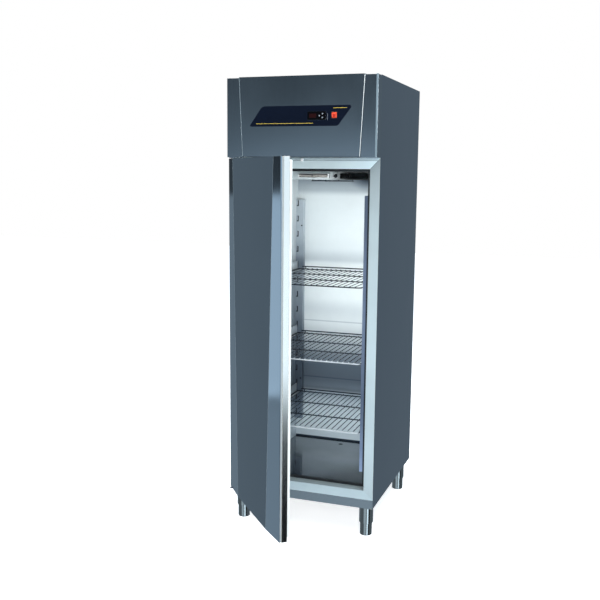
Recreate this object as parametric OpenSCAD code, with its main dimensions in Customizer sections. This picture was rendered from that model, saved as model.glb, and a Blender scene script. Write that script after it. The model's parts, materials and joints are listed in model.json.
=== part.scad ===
// Upright refrigerated cabinet with one door, standing open.
// X is across the front, +Y goes to the back, +Z is up.
// The origin lies on the floor, at the centre of the four feet and of the closed cabinet.

/* [Casing] */
// Width of the casing
body_w = 693; // [640:1:760]
// Depth of the casing, from the front frame to the back
body_d = 767; // [720:1:840]
// Height of the casing, from its underside to its top
body_h = 1931; // [1880:1:2000]
// Height of the casing's underside above the floor
leg_h = 136; // [120:1:160]
// How far the closed door and the header stand in front of the frame
door_reach = 59; // [56:1:70]
// Height of the header
header_h = 348; // [320:1:380]
// Height of the motor space behind the header
motor_space_h = 282; // [275:1:300]
// Thickness of the outer steel sheet
sheet = 1; // [0.8:0.1:1.5]
// Width of the folded flanges on the side skins
side_flange = 15; // [10:1:20]
// Insulated wall at each side, outside to inside
side_wall = 65.5; // [60:0.5:75]
// Insulated wall at the back, outside to inside
back_wall = 64; // [58:1:80]
// Height of the folded plinth band under the frame
plinth_h = 42; // [36:1:50]
// Corner cut at each lower end of the plinth band
plinth_cut = 12; // [6:1:16]

/* [Front frame and liner] */
// Width of the frame's upright stiles
stile_w = 44; // [40:1:50]
// Height of the frame's top rail
top_rail_h = 48; // [44:1:56]
// Height of the frame's bottom rail
bottom_rail_h = 42.5; // [38:0.5:48]
// Thickness of the frame's steel
frame_t = 1.2; // [1:0.1:1.5]
// Depth of the frame's inner reveal
reveal_d = 50; // [44:1:54]
// Gap at the mitres of the frame
mitre_gap = 0.3; // [0.2:0.1:0.5]
// Depth of the black thermal break behind the reveal
break_d = 8; // [6:1:10]
// Step from the frame opening up to the floor pan's front edge
floor_step = 12; // [10:1:16]
// Step from the frame opening down to the ceiling
ceiling_step = 12; // [10:1:16]
// Thickness of the liner's sheet
liner_t = 1; // [0.8:0.1:1.2]
// Fall of the floor pan from front to back
floor_fall = 20; // [10:1:24]
// Distance of the drain from the back of the liner
drain_back = 73; // [60:1:90]
// Outer radius of the drain pipe inside the floor
drain_r = 12.5; // [12:0.5:14]
// Outer radius of the drain's spigot below the casing
spigot_r = 11; // [10:0.5:11.5]
// Wall of the drain's spigot
drain_wall = 2; // [1.5:0.5:3]
// Length of the drain's spigot
spigot_l = 26; // [15:1:40]

/* [Legs] */
// Distance of each leg's axis from the casing's side
leg_inset_x = 39.5; // [36:0.5:50]
// Distance of each leg's axis from the closed cabinet's front and back
leg_inset_y = 99; // [95:1:110]
// Outer radius of the fixed upper collar
collar_r = 32.5; // [31:0.5:36]
// Height of the fixed upper collar
collar_h = 76; // [66:1:80]
// Outer radius of the screwed foot
foot_r = 28; // [24:0.5:29]
// Radius of the foot's threaded spindle
spindle_r = 8; // [6:0.5:10]
// Length of the spindle above the foot's sleeve
spindle_h = 44; // [40:1:48]
// Radial clearance of a running fit
fit = 0.05; // [0.03:0.01:0.08]

/* [Door] */
// Gap between the closed door and each side of the casing
door_side_gap = 3; // [2:0.5:4]
// Gap between the door and the header
door_top_gap = 5.6; // [5:0.1:8]
// Height of the door's bottom edge above the casing's underside
door_bottom = 33; // [31:1:38]
// Thickness of the door's steel body
door_t = 41.5; // [38:0.5:44]
// Thickness of the door's sheet
door_sheet = 1; // [0.8:0.1:1.2]
// Depth of the outer skin's folded edge at the deepest end of its facets
skin_edge = 1.2; // [1:0.1:3]
// Depth of the black trim between skin and liner
trim_d = 8; // [6:0.5:9]
// How far the trim lies below the door's edge
trim_sink = 1.5; // [1:0.5:3]
// Width of the trim's section
trim_w = 8; // [6:1:12]
// Half width of the flat centre of header and door, at the top
flat_top = 288.5; // [270:0.5:300]
// How much narrower each side of the flat gets for each millimetre down
flat_taper = 0.0485; // [0.03:0.0005:0.05]
// How far the side facets fall back for each millimetre of their width
facet_slope = 0.06; // [0.03:0.01:0.08]
// Distance of the hinge axis from the casing's side
hinge_inset = 20.5; // [18:0.5:24]
// Distance of the hinge axis behind the door's outer face
hinge_depth = 19; // [18:0.5:21]
// Radius of the hinge pins
hinge_pin_r = 5; // [4:0.5:6]
// Length of each hinge pin inside its bush
hinge_pin_l = 14; // [10:1:16]
// Outer radius of the hinge bushes
bush_r = 9; // [8:0.5:10]
// Depth of the hinge bushes
bush_h = 17; // [16.5:0.5:22]
// Thickness of the bushes' flange
bush_flange = 1.2; // [1:0.1:1.5]
// Width of the bushes' flange
bush_rim = 2; // [1:0.5:3]
// Thickness of the hinge brackets
bracket_t = 3.6; // [3:0.1:4]
// Width of the hinge brackets
bracket_w = 28; // [24:1:32]
// Distance of the gasket from the door's edge
gasket_inset = 12; // [11:0.5:14]
// Width of the gasket
gasket_w = 22; // [18:1:24]
// Gap left between the closed gasket and the frame
gasket_gap = 0.5; // [0.4:0.1:1]
// Depth of the door liner's raised centre
plug_d = 10; // [6:1:12]
// Distance of the raised centre from the door's edge
plug_inset = 74; // [64:1:90]
// Angle at which the door stands open
door_open = 49; // [0:1:110]

/* [Shelves] */
// Height of the upper shelf above the casing's underside
shelf_z1 = 1016; // [1012:1:1020]
// Height of the middle shelf above the casing's underside
shelf_z2 = 668; // [664:1:672]
// Height of the lower shelf above the casing's underside
shelf_z3 = 345; // [341:1:349]
// Gap between each side of a shelf and the liner, where the uprights stand
shelf_side_gap = 16; // [16:0.5:31]
// Depth of a shelf
shelf_d = 640; // [600:1:650]
// Radius of the wire in a shelf's border
border_r = 3; // [2.5:0.5:4]
// Radius of the shelf's bars that run front to back
bar_r = 1.75; // [1.5:0.25:2.5]
// Number of bars between the two sides of a shelf
bar_count = 19; // [12:1:24]
// How far crossing wires are welded into each other
weld = 0.6; // [0.4:0.1:1]
// Corner radius of a shelf, to the middle of its wire
shelf_corner = 14; // [8:1:20]
// Height of the shelf's raised rear wire above the bars
rear_wire_up = 8; // [6:1:14]
// Gap between the shelf's rear wire and the rear uprights
shelf_rear_gap = 2; // [1:0.5:5]
// Depth of the uprights, from the wall
upright_d = 15; // [12:0.5:15]
// Width of the uprights
upright_w = 41; // [34:1:45]
// Thickness of the uprights' sheet
upright_t = 1.2; // [1:0.1:1.5]
// Top of the front uprights above the casing's underside
front_upright_top = 1419; // [1380:1:1440]
// Bottom of the front uprights above the casing's underside
front_upright_bottom = 154; // [140:1:190]
// Top of the rear uprights above the casing's underside
rear_upright_top = 1378; // [1376:1:1420]
// Bottom of the rear uprights above the casing's underside
rear_upright_bottom = 184; // [140:1:200]
// Depth of the rear uprights, from the back wall
rear_upright_d = 29; // [20:1:34]
// Top of the highest slot above the casing's underside
slot_top = 1375; // [1374:1:1376]
// Pitch of the slots
slot_pitch = 81; // [80.9:0.1:81.1]
// Number of slots
slot_count = 15; // [13:1:15]
// Height of a slot
slot_h = 32; // [31:1:34]
// Width of a slot
slot_w = 4; // [3.5:0.5:5]
// Radius of the round seat at a slot's lower end
seat_r = 3.5; // [3:0.5:4.5]
// Distance of the slots from the wall
slot_off = 10; // [8:0.5:10.5]
// Thickness of the runners
runner_t = 1.5; // [1.2:0.1:2]
// Width of the runners' ledge
ledge_w = 22; // [16:1:26]
// Height of the runners' web above the shelf
web_up = 36; // [35:1:38]
// Lower edge of the runners' hooks above the shelf
hook_z = 28; // [27.5:0.5:29]
// Height of the runners' hooks
hook_h = 6; // [4:0.5:6]
// Gap between a shelf and its runners
seat_gap = 0.3; // [0.2:0.1:0.4]

/* [Evaporator] */
// Half width of the niche in the ceiling
niche_hw = 235; // [220:1:240]
// Front of the niche, from the middle of the casing
niche_front = -50; // [-60:1:-40]
// Distance of the niche's rear side from the liner's back
niche_back = 24; // [18:1:30]
// Height of the niche
niche_h = 85; // [78:1:88]
// Depth of the cover under the ceiling
cover_h = 37; // [34:1:42]
// How far the cover reaches past the niche all round
cover_lip = 10; // [8:1:16]
// Thickness of the cover
cover_t = 1.2; // [1:0.1:1.6]
// Radius of the opening under the evaporator fan
evap_hole_r = 100; // [90:1:105]
// Radius of the evaporator fan
evap_fan_r = 94; // [80:1:96]
// Radius of the wire in the fan's guard
guard_wire_r = 1.5; // [1:0.25:2]
// Distance between the guard's rings
guard_pitch = 26; // [18:1:30]
// Distance of the guard's rings below the cover
guard_drop = 7; // [5:1:10]
// Distance of the evaporator fan's axis behind the niche's front
evap_fan_y = 112; // [110:1:116]
// Radius of the evaporator fan's motor
evap_motor_r = 30; // [26:1:34]
// Depth of the evaporator coil
evap_coil_d = 120; // [100:1:130]
// Height of the evaporator coil
evap_coil_h = 70; // [60:1:74]
// Width of the lamp
lamp_w = 158; // [140:1:170]
// Height of the lamp
lamp_h = 20; // [16:1:24]
// Depth of the lamp
lamp_d = 16; // [12:1:20]
// Position of the lamp's middle
lamp_x = -53; // [-70:1:-40]
// Radius of the round vent beside the lamp
vent_r = 13; // [10:1:15]

/* [Header] */
// Thickness of the header's sheet
header_t = 1.2; // [1:0.1:1.5]
// How far the flap's face stands in front of the header's strips
flap_proud = 2; // [1:0.5:4]
// How far the strips end below the flap's top
strip_drop = 3; // [0:1:6]
// Depth of the flap's folded edges
flap_d = 18; // [16:1:20]
// Gap between the flap and the strips
flap_gap = 1.5; // [1:0.5:2]
// Radius of the flap's hinge pins
flap_pin_r = 3; // [2:0.5:4]
// Depth of the flap's hinge axis behind its face
flap_axis_y = 12; // [9:1:12]
// Distance of the flap's hinge axis below its top
flap_axis_z = 9; // [8:1:12]
// Height of the fascia plate
fascia_h = 87; // [76:1:96]
// Height of the fascia's middle above the header's bottom
fascia_z = 177; // [160:1:190]
// Thickness of the fascia plate
fascia_t = 1; // [0.6:0.1:1.5]
// Width of the display's window
display_w = 84; // [76:1:90]
// Height of the display's window
display_h = 36; // [34:1:40]
// Depth of the display unit behind the flap
display_d = 30; // [24:1:36]
// Position of the display's middle
display_x = 76; // [70:1:80]
// Radius of a key
key_r = 3; // [2.5:0.5:3.5]
// Travel of a key
key_travel = 0.6; // [0.4:0.1:0.8]
// Width of the rocker
rocker_w = 22; // [18:1:24]
// Height of the rocker
rocker_h = 24; // [20:1:26]
// Position of the rocker's middle
rocker_x = 155; // [150:1:160]
// Radius of the rocker's pins
rocker_pin_r = 1.5; // [1:0.25:2]
// Gap round the rocker
rocker_gap = 1; // [0.8:0.1:1.4]
// Tilt of the rocker at each end of its travel
rocker_tilt = 7; // [3:1:7]
// Wall of the switch's housing
housing_t = 1.6; // [1.2:0.1:2]

/* [Motor space] */
// Width of the condenser
cond_w = 280; // [260:1:300]
// Height of the condenser
cond_h = 250; // [245:1:262]
// Depth of the condenser
cond_d = 60; // [50:1:66]
// Distance of the condenser behind the header
cond_y = 20; // [14:1:30]
// Position of the condenser's middle
cond_x = -170; // [-180:1:-165]
// Depth of the fan shroud
shroud_d = 40; // [34:1:46]
// Radius of the opening in the shroud
cond_hole_r = 112; // [105:1:116]
// Radius of the condenser fan
cond_fan_r = 106; // [98:1:108]
// Radius of the compressor's can
comp_r = 82; // [76:1:90]
// Height of the compressor's can
comp_h = 185; // [170:1:200]
// Position of the compressor across the cabinet
comp_x = 130; // [110:1:150]
// Distance of the compressor's axis behind the front frame
comp_y = 274; // [250:1:300]
// Radius of the refrigerant pipes
pipe_r = 5; // [4:0.5:6]
// Width of the control box
box_w = 190; // [160:1:200]
// Depth of the control box
box_d = 110; // [90:1:120]
// Height of the control box
box_h = 90; // [70:1:110]
// Number of louvres in a column of the rear grille
louvre_count = 9; // [6:1:10]
// Radius of the cable entry
entry_r = 5.5; // [4:0.5:7]
// Length of the cable entry's boss
entry_l = 12; // [8:1:16]

/* [Hidden] */

$fn = 48;
steel = [0.74, 0.79, 0.82];
slate = [0.28, 0.34, 0.39];
pale = [0.73, 0.83, 0.87];
plastic = [0.08, 0.09, 0.1];
copper = [0.72, 0.43, 0.25];

// A hair of extra depth for cuts that have to pass a face
eps = 0.5;

half_w = body_w / 2;
back_y = (body_d + door_reach) / 2;
face_y = -back_y;
front_y = face_y + door_reach;
under_z = leg_h;
top_z = under_z + body_h;
header_z = top_z - header_h;
deck_z = top_z - motor_space_h;

open_hw = half_w - stile_w;
open_z0 = under_z + plinth_h + bottom_rail_h;
open_z1 = header_z - top_rail_h;
break_y = front_y + reveal_d;
liner_y0 = break_y + break_d;
liner_y1 = back_y - back_wall;
liner_hw = half_w - side_wall;
floor_z0 = open_z0 + floor_step;
floor_z1 = floor_z0 - floor_fall;
ceiling_z = open_z1 - ceiling_step;
drain_y = liner_y1 - drain_back;
drain_stub = 3;
drain_flange = 7;

leg_x = half_w - leg_inset_x;
leg_y = back_y - leg_inset_y;
collar_z = under_z - collar_h;
sleeve_top = collar_z + 10;
collar_roof = 4;
// Free space all round the foot inside its collar
collar_gap = 1.2;

shelf_w = 2 * (liner_hw - shelf_side_gap);
shelf_heights = [under_z + shelf_z1, under_z + shelf_z2, under_z + shelf_z3];
rear_upright_y = liner_y1 - rear_upright_d;
shelf_y1 = rear_upright_y - shelf_rear_gap;
shelf_y0 = shelf_y1 - shelf_d;
upright_y0 = break_y + 2;
upright_y1 = upright_y0 + upright_w;
screw_r = 2.5;
screw_low = 410;
screw_high = 1241;
screw_heights = [under_z + screw_low, under_z + screw_high];
rear_screw_x = liner_hw - upright_w + 9;
bar_pitch = (shelf_w - 2 * border_r) / (bar_count + 1);
cross_z = -2 * bar_r - border_r + weld;
shelf_foot = cross_z - border_r;

niche_y0 = niche_front;
niche_y1 = liner_y1 - niche_back;
niche_z1 = ceiling_z + niche_h;
cover_z = ceiling_z - cover_h;
cover_y0 = niche_y0 - cover_lip;
vent_x = lamp_x + lamp_w / 2 + vent_r + 16;
vent_z = ceiling_z - cover_h / 2;
cover_y1 = niche_y1 + cover_lip;
evap_y = niche_y0 + evap_fan_y;
fan_depth = 26;
fan_clear = 4;
evap_fan_z = cover_z + cover_t + fan_depth / 2 + fan_clear;
blade_count = 5;
shaft_r = 4;
shaft_grip = 15;
motor_clear = fan_depth / 2 + 3;
motor_head = 6;
evap_arm_r = evap_hole_r + 12;
cond_arm_r = cond_hole_r + 6;
tube_r = 4;
coil_y0 = niche_y1 - liner_t - evap_coil_d;

strip_y = face_y + flap_proud;
flap_z0 = header_z + header_t + flap_gap;
lug_r = 6;
lug_t = 3;
lug_x = flat_top + flap_gap + 2;
flap_axis = [0, face_y + flap_axis_y, top_z - flap_axis_z];
fascia_mid = header_z + fascia_z;
bezel = 6;
cut_gap = 0.3;
key_place = 0.31;
key_x = display_x + key_place * display_w;
key_step = 14;
key_rise = 8;
key_l = 8;
key_front = face_y - fascia_t - 1;
rocker_z = fascia_mid + 2;
rocker_y = face_y + 7;
housing_w = rocker_w + 2 * rocker_gap + 2 * housing_t;
housing_h = rocker_h + 2 * rocker_gap + 2 * housing_t;

door_hw = half_w - door_side_gap;
door_z0 = under_z + door_bottom;
door_z1 = header_z - door_top_gap;
door_y1 = face_y + door_t;
gasket_y1 = front_y - gasket_gap;
hinge_x = -half_w + hinge_inset;
hinge_y = face_y + hinge_depth;
trim_y0 = face_y + facet_slope * (door_hw - flat_at(door_z0)) + skin_edge;
trim_y1 = trim_y0 + trim_d;

cond_y0 = front_y + cond_y;
shroud_y0 = cond_y0 + cond_d;
shroud_y1 = shroud_y0 + shroud_d;
cond_fan_y = shroud_y1 - 8;
cond_motor_r = 38;
cond_motor_l = 60;
floor_deck = deck_z + sheet;
cond_z = floor_deck + cond_h / 2;
comp_at = [comp_x, front_y + comp_y, floor_deck];
comp_lift = 22;
evap_hub_r = 22;
cond_hub_r = 24;
coil_top = niche_z1 - liner_t;
drop_x = [-120, -90];
drop_y = niche_y1 - 40;
weld_gap = 0.2;
sensor_x = -12;
sensor_h = 10;

function floor_at(y) = floor_z0 - floor_fall * (y - liner_y0) / (liner_y1 - liner_y0);
function flat_at(z) = flat_top - flat_taper * (top_z - z);

// A box from its lowest to its highest corner
module block(low, high) {
    translate(low) cube(high - low);
}

// An outline drawn in X and Z, made t thick along Y from y
module facing(y, t) {
    translate([0, y + t, 0]) rotate([90, 0, 0]) linear_extrude(t) children();
}

// An outline drawn in Y and Z, made t thick along X from x
module sideways(x, t) {
    translate([x, 0, 0]) rotate([90, 0, 90]) linear_extrude(t) children();
}

module both_sides() {
    children();
    mirror([1, 0, 0]) children();
}

module rectangle(low, high) {
    translate(low) square(high - low);
}

module bar(from, to, r) {
    run = to - from;
    len = norm(run);
    translate(from)
        rotate([0, acos(run[2] / len), atan2(run[1], run[0])]) cylinder(r = r, h = len);
}

// A bent pipe: straight runs with a brazed elbow, a little thicker, at each bend
module piping(points, r) {
    for (i = [0 : len(points) - 2]) bar(points[i], points[i + 1], r);
    for (i = [1 : len(points) - 2]) translate(points[i]) sphere(r = 1.15 * r);
}

// Three or four arms from a hub at the plane z, each bent down to the plane z1
module spider(angles, hub_r, arm_r, z, z1, r) {
    for (a = angles) rotate(a) {
        bar([hub_r - r, 0, z], [arm_r, 0, z], r);
        bar([arm_r, 0, z + r], [arm_r, 0, z1], 1.25 * r);
    }
}

// A half ring of tube, standing on the plane x = 0 towards +x and bent about the Y axis
module return_bend(bend_r) {
    rotate([90, 0, 0]) rotate(-90) rotate_extrude(angle = 180)
        translate([bend_r, 0]) circle(r = tube_r, $fn = 20);
}

// The bends of a serpentine of tube runs, one pitch apart along Z, between x = -hw and x = hw
module serpentine(hw, runs, pitch) {
    for (k = [0 : runs - 2])
        mirror([k % 2, 0, 0]) translate([hw, 0, (k + 1) * pitch]) return_bend(pitch / 2);
}

// An axial fan with flat pitched blades, its axis along Z and its middle at the origin
module fan(tip_r, hub_r, depth, blades, bore_r) {
    pitch = 28;
    blade_t = 2;
    difference() {
        union() {
            translate([0, 0, -depth / 2]) cylinder(r = hub_r, h = depth);
            for (i = [0 : blades - 1]) rotate(i * 360 / blades) intersection() {
                translate([0, 0, -depth / 2]) cylinder(r = tip_r, h = depth);
                rotate([pitch, 0, 0])
                    translate([hub_r - 3, -tip_r * 0.27, -blade_t / 2])
                        cube([tip_r, tip_r * 0.54, blade_t]);
            }
        }
        translate([0, 0, -depth / 2 - eps]) cylinder(r = bore_r, h = depth + 2 * eps);
    }
}

// The casing

module side_panel() {
    color(slate) {
        block([half_w - sheet, front_y + frame_t, under_z], [half_w, back_y, top_z]);
        block([half_w - side_flange, front_y + frame_t, top_z - sheet],
            [half_w - sheet, back_y, top_z]);
        block([half_w - side_flange, back_y - 2 * sheet, under_z + sheet],
            [half_w - sheet, back_y - sheet, top_z - sheet]);
    }
}

module side_panel_left() {
    mirror([1, 0, 0]) side_panel();
}

module side_panel_right() {
    side_panel();
}

module back_panel() {
    color(steel) block([sheet - half_w, back_y - sheet, under_z], [half_w - sheet, back_y, deck_z]);
}

module base_tray() {
    x = half_w - sheet;
    color(slate) difference() {
        union() {
            block([-x, front_y + frame_t, under_z], [x, back_y - sheet, under_z + sheet]);
            facing(front_y, frame_t) polygon([
                [-half_w, under_z + plinth_h], [-half_w, under_z + plinth_cut],
                [plinth_cut - half_w, under_z], [half_w - plinth_cut, under_z],
                [half_w, under_z + plinth_cut], [half_w, under_z + plinth_h]]);
        }
        translate([0, drain_y, under_z - eps]) cylinder(r = drain_r + fit, h = sheet + 2 * eps);
    }
}

// Two vertical pipe runs between the deck and the evaporator
module pipe_drops(r, z0, z1) {
    for (x = drop_x) translate([x, drop_y, z0]) cylinder(r = r, h = z1 - z0);
}

module deck_panel() {
    x = half_w - sheet;
    color(steel) difference() {
        union() {
            block([-x, front_y + frame_t, deck_z], [x, back_y - sheet, floor_deck]);
            block([header_t - half_w, front_y, header_z],
                [half_w - header_t, front_y + frame_t, floor_deck]);
        }
        pipe_drops(pipe_r + fit, deck_z - eps, floor_deck + eps);
        for (s = [-1, 1])
            block([s * half_w - side_flange, back_y - 2 * sheet, deck_z - eps],
                [s * half_w + side_flange, back_y - sheet + eps, floor_deck + eps]);
    }
}

// The side view of the liner's inside, grown by g
module cavity_outline(g) {
    polygon([
        [liner_y0, floor_z0 - g], [liner_y1 + g, floor_at(liner_y1 + g) - g],
        [liner_y1 + g, ceiling_z + g], [liner_y0, ceiling_z + g]]);
}

module insulation() {
    x = half_w - sheet;
    hw = liner_hw + liner_t;
    color([0.9, 0.85, 0.6]) difference() {
        block([-x, front_y + frame_t, under_z + sheet], [x, back_y - sheet, deck_z]);
        both_sides() block([half_w - side_flange, back_y - 2 * sheet, under_z],
            [half_w, back_y, deck_z + eps]);
        sideways(-hw, 2 * hw) cavity_outline(liner_t);
        block([-open_hw - frame_t, front_y, open_z0 - frame_t],
            [open_hw + frame_t, liner_y0, open_z1 + frame_t]);
        block([-niche_hw - liner_t, niche_y0 - liner_t, ceiling_z],
            [niche_hw + liner_t, niche_y1 + liner_t, niche_z1]);
        pipe_drops(pipe_r, niche_z1 - eps, deck_z + eps);
        drain_core();
    }
}

module liner_sides() {
    color(steel) both_sides() sideways(liner_hw, liner_t) cavity_side();
}

module cavity_side() {
    polygon([
        [liner_y0, floor_z0 - liner_t], [liner_y1, floor_z1 - liner_t],
        [liner_y1, ceiling_z + liner_t], [liner_y0, ceiling_z + liner_t]]);
}

module liner_back() {
    hw = liner_hw + liner_t;
    color(steel) block([-hw, liner_y1, floor_z1 - liner_t],
        [hw, liner_y1 + liner_t, ceiling_z + liner_t]);
}

module liner_ceiling() {
    hw = niche_hw;
    color(steel) difference() {
        union() {
            block([-liner_hw, liner_y0, ceiling_z], [liner_hw, liner_y1, ceiling_z + liner_t]);
            block([-hw - liner_t, niche_y0 - liner_t, ceiling_z],
                [hw + liner_t, niche_y1 + liner_t, niche_z1]);
        }
        block([-hw, niche_y0, ceiling_z - eps], [hw, niche_y1, coil_top]);
        pipe_drops(pipe_r + fit, coil_top - eps, niche_z1 + eps);
    }
}

module floor_pan() {
    color(steel) difference() {
        sideways(-liner_hw, 2 * liner_hw) polygon([
            [liner_y0, floor_z0 - liner_t], [liner_y1, floor_z1 - liner_t],
            [liner_y1, floor_z1], [liner_y0, floor_z0]]);
        translate([0, drain_y, floor_z1 - 20]) cylinder(r = drain_r + fit, h = 50);
    }
}

// The drain's outside: its pipe and the flange under the floor pan
module drain_core() {
    flange_z = floor_at(drain_y) - 6;
    z0 = under_z - drain_stub;
    translate([0, drain_y, z0]) cylinder(r = drain_r, h = floor_at(drain_y) - liner_t / 2 - z0);
    translate([0, drain_y, flange_z]) cylinder(r = drain_r + drain_flange, h = 2);
}

module drain_pipe() {
    z0 = under_z - drain_stub - spigot_l;
    color(plastic) difference() {
        union() {
            drain_core();
            translate([0, drain_y, z0]) cylinder(r = spigot_r, h = spigot_l);
        }
        translate([0, drain_y, z0 - eps]) cylinder(r = spigot_r - drain_wall, h = floor_z0 - z0);
    }
}

module breaker_strip() {
    x = open_hw + frame_t;
    color(plastic) facing(break_y, break_d) difference() {
        rectangle([-x, open_z0 - frame_t], [x, open_z1 + frame_t]);
        rectangle([-liner_hw, floor_z0], [liner_hw, ceiling_z]);
    }
}

// The frame's folded section, before it is cut at the mitres
module frame_ring() {
    z0 = under_z + plinth_h;
    facing(front_y, frame_t) difference() {
        rectangle([-half_w, z0], [half_w, header_z]);
        rectangle([-open_hw, open_z0], [open_hw, open_z1]);
    }
    facing(front_y, reveal_d) difference() {
        rectangle([-open_hw - frame_t, open_z0 - frame_t], [open_hw + frame_t, open_z1 + frame_t]);
        rectangle([-open_hw, open_z0], [open_hw, open_z1]);
    }
}

// The wedge that keeps the right stile, up to the middle of the mitre gaps
module stile_wedge(g) {
    z0 = under_z + plinth_h;
    run = 10;
    low = (open_z0 - z0) / stile_w;
    high = (header_z - open_z1) / stile_w;
    polygon([
        [open_hw - run, open_z0 + run * low + g], [half_w + run, z0 - run * low + g],
        [half_w + run, header_z + run * high - g], [open_hw - run, open_z1 - run * high - g]]);
}

module frame_stiles() {
    color(pale) both_sides() intersection() {
        frame_ring();
        facing(front_y - eps, reveal_d + 2 * eps) stile_wedge(mitre_gap / 2);
    }
}

module frame_rails() {
    color(pale) difference() {
        frame_ring();
        both_sides()
            facing(front_y - eps, reveal_d + 2 * eps) stile_wedge(-mitre_gap / 2);
    }
}

// The legs

module at_legs() {
    for (x = [-leg_x, leg_x], y = [-leg_y, leg_y]) translate([x, y, 0]) children();
}

module leg_sockets() {
    color(steel) at_legs() difference() {
        translate([0, 0, collar_z]) cylinder(r = collar_r, h = collar_h);
        difference() {
            translate([0, 0, collar_z - eps])
                cylinder(r = foot_r + collar_gap, h = collar_h - collar_roof + eps);
            translate([0, 0, sleeve_top + 6])
                cylinder(r = spindle_r + 5, h = under_z - sleeve_top);
        }
        translate([0, 0, collar_z])
            cylinder(r = spindle_r + fit, h = collar_h - collar_roof);
    }
}

module foot(x, y) {
    chamfer = 2;
    color(steel) translate([x, y, 0]) {
        cylinder(r1 = foot_r - chamfer, r2 = foot_r, h = chamfer);
        translate([0, 0, chamfer]) cylinder(r = foot_r, h = sleeve_top - chamfer);
        translate([0, 0, sleeve_top]) cylinder(r = spindle_r, h = spindle_h);
    }
}

module foot_front_left() { foot(-leg_x, -leg_y); }
module foot_front_right() { foot(leg_x, -leg_y); }
module foot_rear_left() { foot(-leg_x, leg_y); }
module foot_rear_right() { foot(leg_x, leg_y); }

// The shelf uprights, runners and shelves

// One slot with its round seat, drawn in X and Z, its top at z
module slot_outline(z) {
    translate([-slot_w / 2, z - slot_h + seat_r]) square([slot_w, slot_h - seat_r]);
    translate([0, z - slot_h + seat_r]) circle(r = seat_r, $fn = 24);
}

module slots(y) {
    x = liner_hw - slot_off;
    facing(y - eps, upright_t + 2 * eps)
        for (i = [0 : slot_count - 1])
            translate([x, 0]) slot_outline(under_z + slot_top - i * slot_pitch);
}

module uprights_front() {
    x0 = liner_hw - upright_d;
    z0 = under_z + front_upright_bottom;
    z1 = under_z + front_upright_top;
    color(steel) both_sides() difference() {
        translate([0, 0, z0]) linear_extrude(z1 - z0) difference() {
            rectangle([x0, upright_y0], [liner_hw, upright_y1]);
            rectangle([x0 + upright_t, upright_y0 + upright_t],
                [liner_hw + eps, upright_y1 - upright_t]);
        }
        slots(upright_y1 - upright_t);
        for (z = screw_heights) translate([x0 - eps, (upright_y0 + upright_y1) / 2, z])
            rotate([0, 90, 0]) cylinder(r = screw_r + fit, h = upright_t + 2 * eps);
    }
}

module uprights_rear() {
    x0 = liner_hw - upright_w;
    z0 = under_z + rear_upright_bottom;
    z1 = under_z + rear_upright_top;
    color(steel) both_sides() difference() {
        translate([0, 0, z0]) linear_extrude(z1 - z0) union() {
            rectangle([x0, rear_upright_y], [liner_hw, rear_upright_y + upright_t]);
            rectangle([x0, rear_upright_y], [x0 + upright_t, liner_y1]);
        }
        slots(rear_upright_y);
        for (z = screw_heights) translate([rear_screw_x, rear_upright_y - eps, z])
            rotate([-90, 0, 0]) cylinder(r = screw_r + fit, h = upright_t + 2 * eps);
    }
}

// A round-headed screw along -Z, its head on the plane z = 0
module screw(length) {
    rotate_extrude() polygon([
        [0, 0], [4.2, 0], [4.2, 0.8], [3.4, 1.9], [2, 2.5], [0, 2.6]]);
    translate([0, 0, -length]) cylinder(r = screw_r, h = length);
}

module upright_screws() {
    y = (upright_y0 + upright_y1) / 2;
    color(steel) both_sides() for (z = screw_heights) {
        translate([liner_hw - upright_d, y, z]) rotate([0, -90, 0]) screw(upright_d);
        translate([rear_screw_x, rear_upright_y, z])
            rotate([90, 0, 0]) screw(rear_upright_d);
    }
}

module runner(z) {
    x1 = liner_hw - slot_off + runner_t / 2;
    x0 = x1 - runner_t;
    y0 = upright_y1;
    y1 = rear_upright_y;
    ledge_z = z + shelf_foot - seat_gap;
    reach = upright_t + 4;
    block([x0, y0, ledge_z - runner_t], [x1, y1, z + web_up]);
    block([x0 - ledge_w, y0, ledge_z - runner_t], [x0, y1, ledge_z]);
    block([x0, y0 - reach, z + hook_z], [x1, y1 + reach, z + hook_z + hook_h]);
}

module runner_pair(i) {
    color(steel) both_sides() runner(shelf_heights[i]);
}

module runners_upper() { runner_pair(0); }
module runners_middle() { runner_pair(1); }
module runners_lower() { runner_pair(2); }

// A rounded rectangle of wire, measured to the middle of the wire
module wire_loop(x, y0, y1, corner, r) {
    for (s = [-1, 1]) {
        bar([s * x, y0 + corner, 0], [s * x, y1 - corner, 0], r);
        bar([corner - x, s < 0 ? y0 : y1, 0], [x - corner, s < 0 ? y0 : y1, 0], r);
        for (e = [0, 1])
            translate([s * (x - corner), e == 0 ? y0 + corner : y1 - corner, 0])
                rotate(s < 0 ? 180 - 90 * e : 270 + 90 * e)
                    rotate_extrude(angle = 90) translate([corner, 0]) circle(r = r, $fn = 20);
    }
}

module shelf(z) {
    x = shelf_w / 2 - border_r;
    y0 = shelf_y0 + border_r;
    y1 = shelf_y1 - border_r;
    span = y1 - y0;
    color(steel) translate([0, 0, z]) {
        translate([0, 0, cross_z]) wire_loop(x, y0, y1, shelf_corner, border_r);
        for (k = [1, 2])
            bar([-x, y0 + span * k / 3, cross_z], [x, y0 + span * k / 3, cross_z], border_r);
        for (i = [1 : bar_count])
            bar([i * bar_pitch - x, y0 - border_r / 2, -bar_r],
                [i * bar_pitch - x, y1 + border_r / 2, -bar_r], bar_r);
        translate([0, 0, rear_wire_up]) bar([-x + 20, y1, 0], [x - 20, y1, 0], border_r);
        for (s = [-1, 1])
            bar([s * (x - 40), y1, cross_z], [s * (x - 40), y1, rear_wire_up], border_r);
    }
}

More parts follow.
